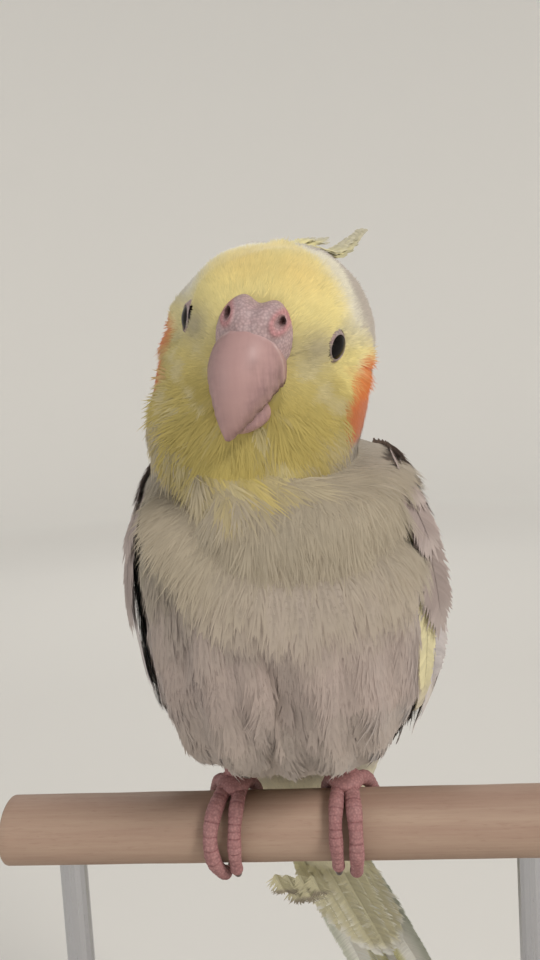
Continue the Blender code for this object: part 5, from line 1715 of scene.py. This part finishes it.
class CockatielCere(bpy.types.Operator):
    """Model the granular cere with its nostrils"""

    bl_idname = "cockatiel.cere"
    bl_label = "Cere"

    def execute(self, context):
        bare = context.scene.cockatiel_bare
        share = 1 - (1 - np.linspace(0, 1, 60)) ** 2
        turn = np.linspace(0, 2 * math.pi, 120, endpoint=False)
        scale = np.sqrt(np.maximum(1 - share**4, 0.0004))[:, None]
        sine, cosine = np.sin(turn), np.cos(turn)
        dip = np.where(sine > 0, CERE_DIP * bump(cosine, CERE_DIP_WIDTH), 0.0)
        x = CERE_HALF_WIDTH * scale * cosine
        z = CERE_MIDDLE_HEIGHT + (CERE_HALF_HEIGHT - dip) * scale * sine
        y = CERE_BACK + share[:, None] * (CERE_FRONT - CERE_BACK) + CERE_SWEEP * x * x / CERE_HALF_WIDTH
        points = np.stack((x, y + 0 * x, z), -1)
        # Each nostril is a pit with a swollen rim
        for side in (1, -1):
            offset = (points - NOSTRIL * (side, 1, 1)) / (1, 1, 1)
            away = np.sqrt((offset[..., 0] / 0.72) ** 2 + (offset[..., 2] / 1.05) ** 2)
            front = smooth(-17.5, -19.0, 0 * away) + (points[..., 1] < -17.5)
            pit = 1.5 * (1 - smooth(0.45, 1.05, away)) - 0.45 * bump(away - 1.45, 0.45)
            points[..., 1] += np.where(front > 0, pit, 0)
        grain = 0.05 * ripple(points, 0.35) + 0.10 * ripple(points, 1.1, 3.0)
        points[..., 1] += grain
        rim = np.zeros(points.shape[:2])
        hole = np.zeros(points.shape[:2])
        for side in (1, -1):
            away = np.hypot((points[..., 0] - side * NOSTRIL[0]) / 0.72, (points[..., 2] - NOSTRIL[2]) / 1.05)
            rim = np.maximum(rim, bump(away - 1.3, 0.5))
            hole = np.maximum(hole, 1 - smooth(0.3, 0.85, away))
        base = np.array(tuple(bare.cere))
        colours = mix(base, np.array(tuple(bare.nostril)), np.clip(rim, 0, 1))
        # The nostril pits are painted near black, as painted shade inside them
        colours = mix(colours, np.array((0.05, 0.015, 0.014)), hole)
        mesh = grid_mesh("cere_skin", from_head(points), caps=(0, -1), colours=colours)
        material, tree, shader = new_material("cere_skin", Specular_IOR_Level=0.4)
        node = place_group(tree, bare_skin_group(), shader, 0.22, 0.12, {"Pebble Scale": 2.4, "Blotch Scale": 0.4})
        pigment = add_node(tree, "Attribute", attribute_name="pigment").outputs["Color"]
        tree.links.new(pigment, node.inputs["Base"])
        flush = mix_node(tree, 0.22, pigment, tuple(bare.nostril))
        tree.links.new(flush, node.inputs["Flush"])
        new_object("cere_skin", mesh, material, "cere", "cere")
        return {"FINISHED"}


def disc_frame(side):
    """The eye's axis and two directions square to it, in the head's frame."""
    axis = eye_axis(side)
    level = unit(np.cross((0, 0, 1.0), axis))
    return axis, level, np.cross(axis, level)


class CockatielEyes(bpy.types.Operator):
    """Model the glossy eyes and the bare lids round them"""

    bl_idname = "cockatiel.eyes"
    bl_label = "Eyes and Lids"

    def execute(self, context):
        bare = context.scene.cockatiel_bare
        glossy, tree, shader = new_material(
            "dark_eye", Roughness=0.05, Specular_IOR_Level=0.12
        )
        pigment = add_node(tree, "Attribute", attribute_name="pigment").outputs["Color"]
        fleck = noise_node(tree, object_place(tree), 3.0, 4.0, 0.7)
        iris = mix_node(tree, ramp_node(tree, fleck, 0.35, 0.7), pigment, tuple(v * 1.9 for v in bare.iris))
        tree.links.new(mix_node(tree, 0.35, pigment, iris), shader.inputs["Base Color"])
        skin, skin_tree, skin_shader = new_material("lid_skin", Specular_IOR_Level=0.4)
        inputs = {
            "Base": tuple(bare.lids),
            "Flush": tuple(0.6 * a + 0.4 * b for a, b in zip(bare.lids, bare.nostril)),
            "Pebble Scale": 2.4,
            "Blotch Scale": 0.3,
        }
        place_group(skin_tree, bare_skin_group(), skin_shader, 0.3, 0.12, inputs)
        for side, name in ((1, "eye_left"), (-1, "eye_right")):
            axis, level, upright = disc_frame(side)
            polar = np.linspace(0.04, math.pi - 0.04, 40)[:, None]
            turn = np.linspace(0, 2 * math.pi, 56, endpoint=False)
            ring = np.cos(turn)[:, None] * level + np.sin(turn)[:, None] * upright
            ball = eye_middle(side) + EYE_RADIUS * (
                -np.cos(polar)[..., None] * axis + np.sin(polar)[..., None] * ring
            )
            forward = -np.cos(polar) + 0 * turn
            pupil = smooth(0.885, 0.905, forward)
            colours = mix(np.array(tuple(bare.iris)), np.array((0.004, 0.003, 0.003)), pupil)
            mesh = grid_mesh(f"{name}_ball", from_head(ball), caps=(0, -1), colours=colours)
            new_object(f"{name}_ball", mesh, glossy, "eye", name)

            # From the margin on the eyeball out over the lid, down into the feathers
            profile = np.array([
                (1.76, 2.90), (1.80, 3.02), (1.90, 3.06), (2.02, 2.98), (2.16, 2.82), (2.30, 2.64),
                (2.46, 2.45), (2.70, 2.18), (2.95, 1.85), (3.20, 1.40), (3.50, 0.8), (3.8, 0.1),
            ])
            rows = curve_at(profile, np.linspace(0, len(profile) - 1, 34))
            oval = 1.0 + 0.07 * np.cos(2 * (turn - 1.9))
            crease = 0.05 * np.sin(turn * 22 + 1.3 * np.sin(turn * 3)) * smooth(1.9, 2.6, rows[:, 0:1])
            reach = rows[:, 0:1] * oval
            lid = eye_middle(side) + reach[..., None] * ring + (rows[:, 1:2] + crease)[..., None] * axis
            mesh = grid_mesh(f"{name}_lids", from_head(lid))
            new_object(f"{name}_lids", mesh, skin, "face_feather")
        return {"FINISHED"}


GAP = 0.3
FOOT_X = {"left": 10.2, "right": -11.2}
SHANK_RADIUS = 2.0
SHANK_TOP = (4.6, 17.5)
PAD_RADII = np.array((3.3, 4.0, 1.9))
TOE_TAPER = 0.22
TOE_SWELLING = 0.05
# A toe's name, the angles round the dowel from its root to its end (90 is the top, 0 the front),
# its radius, and how far outwards it lies at its root, its middle and its end
TOES = {
    "left": (
        ("inner_front", 96, -38, 1.42, (-1.2, -2.4, -2.2)),
        ("outer_front", 96, -62, 1.52, (0.8, 1.2, 1.0)),
        ("inner_back", 84, 186, 1.35, (-1.0, -3.4, -4.4)),
        ("outer_back", 84, 214, 1.45, (0.8, 5.0, 6.2)),
    ),
    "right": (
        ("inner_front", 96, -44, 1.42, (-1.6, -0.6, -0.4)),
        ("outer_front", 96, -66, 1.55, (1.0, 3.9, 1.9)),
        ("inner_back", 84, 188, 1.35, (-1.0, -3.0, -4.0)),
        ("outer_back", 84, 212, 1.45, (0.8, 4.6, 5.8)),
    ),
}
CLAW_LENGTH = 5.6
CLAW_RADIUS = 0.85
CLAW_ARCH = 0.5
CLAW_TIP_RADIUS = 0.14
CLAW_START = 0.36
# Length of one ring scale along a toe
SCUTE_LENGTH = 1.15


def toe_grid(foot_x, outward, toe):
    """A toe that wraps the dowel, ringed with scales and padded underneath."""
    _, first, last, radius, offsets = toe
    share = np.linspace(0, 1, 110)
    angle = (first + (last - first) * share) * DEG
    swelling = TOE_SWELLING * np.cos(6 * math.pi * share)
    here = radius * (1.0 - TOE_TAPER * share + swelling)
    reach = DOWEL_RADIUS + GAP + here
    x = foot_x + outward * curve_at(np.array(offsets), 2 * share)[:, 0]
    path = np.stack((x, -reach * np.cos(angle), reach * np.sin(angle)), -1)
    rounding = np.sqrt(np.clip(1 - np.clip((share - 0.955) / 0.045, 0, 1) ** 2, 0.02, 1))
    grid = tube_grid(path, here * rounding, 28)
    way = math.copysign(1, last - first)
    outwards = unit(path * (0, 1, 1))
    # Overlapping scales stand out over the toe's outer side, and soft pads under it
    length = np.concatenate(((0.0,), np.cumsum(np.linalg.norm(np.diff(path, axis=0), axis=1))))
    phase = (length / SCUTE_LENGTH) % 1.0
    from_middle = unit(grid - path[:, None])
    top = (from_middle * outwards[:, None]).sum(-1)
    scale_height = 0.13 * (phase**1.5)[:, None] * smooth(-0.2, 0.5, top)
    crease = -0.11 * bump(phase - 0.02, 0.10)[:, None] * smooth(-0.3, 0.4, top)
    pads = 0.10 * np.sin(length * 2.1)[:, None] * smooth(0.1, 0.8, -top)
    lift = (scale_height + crease + np.minimum(pads, 0)) * rounding[:, None]
    # The creases between the scales are painted redder and darker: redder skin there, and painted shade in the
    # creases
    crevice = bump(phase - 0.02, 0.09)[:, None] * smooth(-0.3, 0.4, top)
    return grid + from_middle * lift[..., None], np.clip(crevice, 0, 1)


def claw_grid(foot_x, outward, toe):
    """A claw goes on round the dowel from its toe's end, tapering to its point."""
    _, first, last, radius, offsets = toe
    way = math.copysign(1, last - first)
    x = foot_x + outward * offsets[-1]
    reach = DOWEL_RADIUS + GAP + radius * 0.85
    begin = last * DEG + way * (CLAW_START - 0.9) / reach
    share = np.linspace(0, 1, 34)
    angle = begin + way * share * (CLAW_LENGTH + 0.9 - 0.1) / reach
    radii = CLAW_RADIUS + (CLAW_TIP_RADIUS - CLAW_RADIUS) * share**1.3
    out = reach + CLAW_ARCH * (np.sin(math.pi * share) - share)
    path = np.stack((0 * share + x, -out * np.cos(angle), out * np.sin(angle)), -1)
    return tube_grid(path, radii, 20, flatten=1.0)


class CockatielFeet(bpy.types.Operator):
    """Model the scaled toes, the shanks and the claws"""

    bl_idname = "cockatiel.feet"
    bl_label = "Feet"

    def execute(self, context):
        bare = context.scene.cockatiel_bare
        material, tree, shader = new_material("foot_skin", Specular_IOR_Level=0.4)
        node = place_group(tree, bare_skin_group(), shader, 0.3, 0.12, {"Pebble Scale": 2.2, "Blotch Scale": 0.35})
        pigment = add_node(tree, "Attribute", attribute_name="pigment").outputs["Color"]
        tree.links.new(pigment, node.inputs["Base"])
        tree.links.new(mix_node(tree, 0.35, pigment, tuple(bare.foot_flush)), node.inputs["Flush"])
        horn, horn_tree, horn_shader = new_material("claw_horn", Coat_Weight=0.3, Coat_Roughness=0.2)
        inputs = {"Base": tuple(bare.claw), "Edge": tuple(v * 1.8 for v in bare.claw)}
        place_group(horn_tree, horn_group(), horn_shader, 0.2, 0.06, inputs)
        skin_tone = np.array(tuple(bare.foot))
        flush = np.array(tuple(bare.foot_flush))
        for side, foot_x in FOOT_X.items():
            outward = math.copysign(1, foot_x)
            parts = []
            for toe in TOES[side]:
                grid, crevice = toe_grid(foot_x, outward, toe)
                parts.append((grid, mix(skin_tone, flush * 0.8, crevice * 0.8)))
                claw = grid_mesh(f"claw_{side}_{toe[0]}_horn", claw_grid(foot_x, outward, toe), caps=(0, -1))
                new_object(f"claw_{side}_{toe[0]}_horn", claw, horn, "claw", f"claw_{side}_{toe[0]}")
            parts.append(shank_grid(foot_x, skin_tone, flush))
            parts.append(pad_grid(foot_x, skin_tone))
            meshes = [grid_mesh("part", grid, caps=(0, -1), colours=colours) for grid, colours in parts]
            name = f"leg_{side}_skin"
            mesh = join_meshes(name, meshes)
            new_object(name, mesh, material, "foot_skin", f"leg_{side}")
        return {"FINISHED"}


def shank_grid(foot_x, skin_tone, flush):
    foot = np.array((foot_x, 0.5, DOWEL_RADIUS + 2.2))
    top = np.array((foot_x * 0.92, *SHANK_TOP))
    share = np.linspace(0, 1, 60)[:, None]
    path = foot + share * (top - foot)
    grid = tube_grid(path, np.full(60, SHANK_RADIUS), 28)
    away = unit(grid - path[:, None])
    phase = (share * 9.0 % 1.0)
    front = smooth(-0.2, 0.5, -away[..., 1])
    lift = (0.12 * phase**1.5 - 0.1 * bump(phase, 0.1)) * front
    # The creases between the scales are painted redder and darker: redder skin there, and painted shade in the
    # creases
    crevice = np.clip(bump(phase, 0.09) * front, 0, 1)
    return grid + away * lift[..., None], mix(skin_tone, flush * 0.8, crevice * 0.8)


def pad_grid(foot_x, skin_tone):
    middle = np.array((foot_x, 0.4, DOWEL_RADIUS + GAP + PAD_RADII[2]))
    polar = np.linspace(0.06, math.pi - 0.06, 30)[:, None]
    turn = np.linspace(0, 2 * math.pi, 40, endpoint=False)
    shape = np.stack((np.sin(polar) * np.cos(turn), np.sin(polar) * np.sin(turn), -np.cos(polar) + 0 * turn), -1)
    grid = middle + shape * PAD_RADII
    grid = grid + shape * (0.06 * ripple(grid, 0.7))[..., None]
    return grid, np.broadcast_to(skin_tone, grid.shape)


def join_meshes(name, meshes):
    """Join meshes into one, keeping their colours and maps."""
    objects = [bpy.data.objects.new("part", mesh) for mesh in meshes]
    for obj in objects:
        bpy.context.scene.collection.objects.link(obj)
    with bpy.context.temp_override(active_object=objects[0], selected_editable_objects=objects):
        bpy.ops.object.join()
    joined = objects[0].data
    joined.name = name
    bpy.data.objects.remove(objects[0])
    return joined


class CockatielPerch(bpy.types.Operator):
    """Turn the cut length of dowel"""

    bl_idname = "cockatiel.perch"
    bl_label = "Perch"

    def execute(self, context):
        values = context.scene.cockatiel_stand
        half = DOWEL_LENGTH / 2
        bevel = 0.6
        inner = [(r, -half) for r in (0.6, 2.0, 4.0, DOWEL_RADIUS - bevel)]
        edge = [(DOWEL_RADIUS - bevel + bevel * math.sin(a), -half + bevel * (1 - math.cos(a))) for a in (0.5, 1.0, 1.5)]
        profile = inner + edge + [(DOWEL_RADIUS, x) for x in np.linspace(-half + 2, half - 2, 57)]
        profile += [(r, -x) for r, x in reversed(inner + edge)]
        turn = np.linspace(0, 2 * math.pi, 96, endpoint=False)
        radius = np.array([r for r, _ in profile])[:, None]
        x = np.array([x for _, x in profile])[:, None] + 0 * turn
        grid = np.stack((x, radius * np.cos(turn), radius * np.sin(turn)), -1)
        dents = 0.03 * ripple(grid * (0.3, 1, 1), 1.6, 2.0)
        grid[..., 1:] += unit(grid * (0, 1, 1))[..., 1:] * dents[..., None] * (radius > 4)[..., None]
        mesh = grid_mesh("perch_dowel", grid, caps=(0, -1))
        material, tree, shader = new_material("bare_dowel", Specular_IOR_Level=0.35)
        inputs = {
            "Light": tuple(values.dowel_light),
            "Dark": tuple(values.dowel_dark),
            "Grain Scale": 1.0,
            "Smoothness": 0.5,
        }
        place_group(tree, wood_group(), shader, 0.3, 0.15, inputs)
        new_object("perch_dowel", mesh, material, "dowel", "perch")
        return {"FINISHED"}


class CockatielDisplay(bpy.types.Operator):
    """Finish the base and the rods of the display stand"""

    bl_idname = "cockatiel.display"
    bl_label = "Display Stand"

    def execute(self, context):
        values = context.scene.cockatiel_stand
        wood, tree, shader = new_material("stained_base", Coat_Weight=0.3, Coat_Roughness=0.25)
        inputs = {
            "Light": tuple(values.base_light),
            "Dark": tuple(values.base_dark),
            "Grain Scale": 0.5,
            "Smoothness": 0.35,
        }
        place_group(tree, wood_group(), shader, 0.25, 0.15, inputs)
        steel, tree, shader = new_material("brushed_rod", Base_Color=tuple(values.steel), Metallic=1.0)
        brushed = noise_node(tree, object_place(tree, (1.0, 1.0, 0.03)), 6.0, 3.0, 0.6)
        tree.links.new(ramp_node(tree, brushed, 0.3, 0.7, 0.24, 0.42), shader.inputs["Roughness"])
        relief_node = add_node(tree, "Bump", {"Strength": 0.1, "Distance": 0.00005, "Height": brushed})
        tree.links.new(relief_node.outputs[0], shader.inputs["Normal"])
        for node, material in (("stand_base", wood), ("stand_rod_left", steel), ("stand_rod_right", steel)):
            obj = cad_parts[node]
            obj = obj if hasattr(obj, "data") else bpy.data.objects[node]
            for slot in obj.material_slots:
                slot.link = "OBJECT"
                slot.material = material
        return {"FINISHED"}


class CockatielPanel(bpy.types.Panel):
    """Everything that a user may change, and the steps in order"""

    bl_label = "Cockatiel"
    bl_idname = "VIEW3D_PT_cockatiel"
    bl_space_type = "VIEW_3D"
    bl_region_type = "UI"
    bl_category = "Cockatiel"

    def draw(self, context):
        for name, group in GROUPS.items():
            box = self.layout.box()
            box.label(text=group.__doc__)
            values = getattr(context.scene, name)
            for key in group.__annotations__:
                box.prop(values, key)
        for step in STEPS:
            self.layout.operator(step.bl_idname)


STEPS = (
    CockatielStage,
    CockatielSkin,
    CockatielCoatMaker,
    CockatielWings,
    CockatielTail,
    CockatielCrest,
    CockatielBill,
    CockatielCere,
    CockatielEyes,
    CockatielFeet,
    CockatielPerch,
    CockatielDisplay,
)
CLASSES = (*GROUPS.values(), *STEPS, CockatielPanel)


def register():
    for each in CLASSES:
        bpy.utils.register_class(each)
    for name, group in GROUPS.items():
        setattr(bpy.types.Scene, name, PointerProperty(type=group))


def unregister():
    for name in GROUPS:
        delattr(bpy.types.Scene, name)
    for each in reversed(CLASSES):
        bpy.utils.unregister_class(each)


def main():
    register()
    for step in STEPS:
        family, action = step.bl_idname.split(".")
        getattr(getattr(bpy.ops, family), action)()


if __name__ == "__main__":
    main()
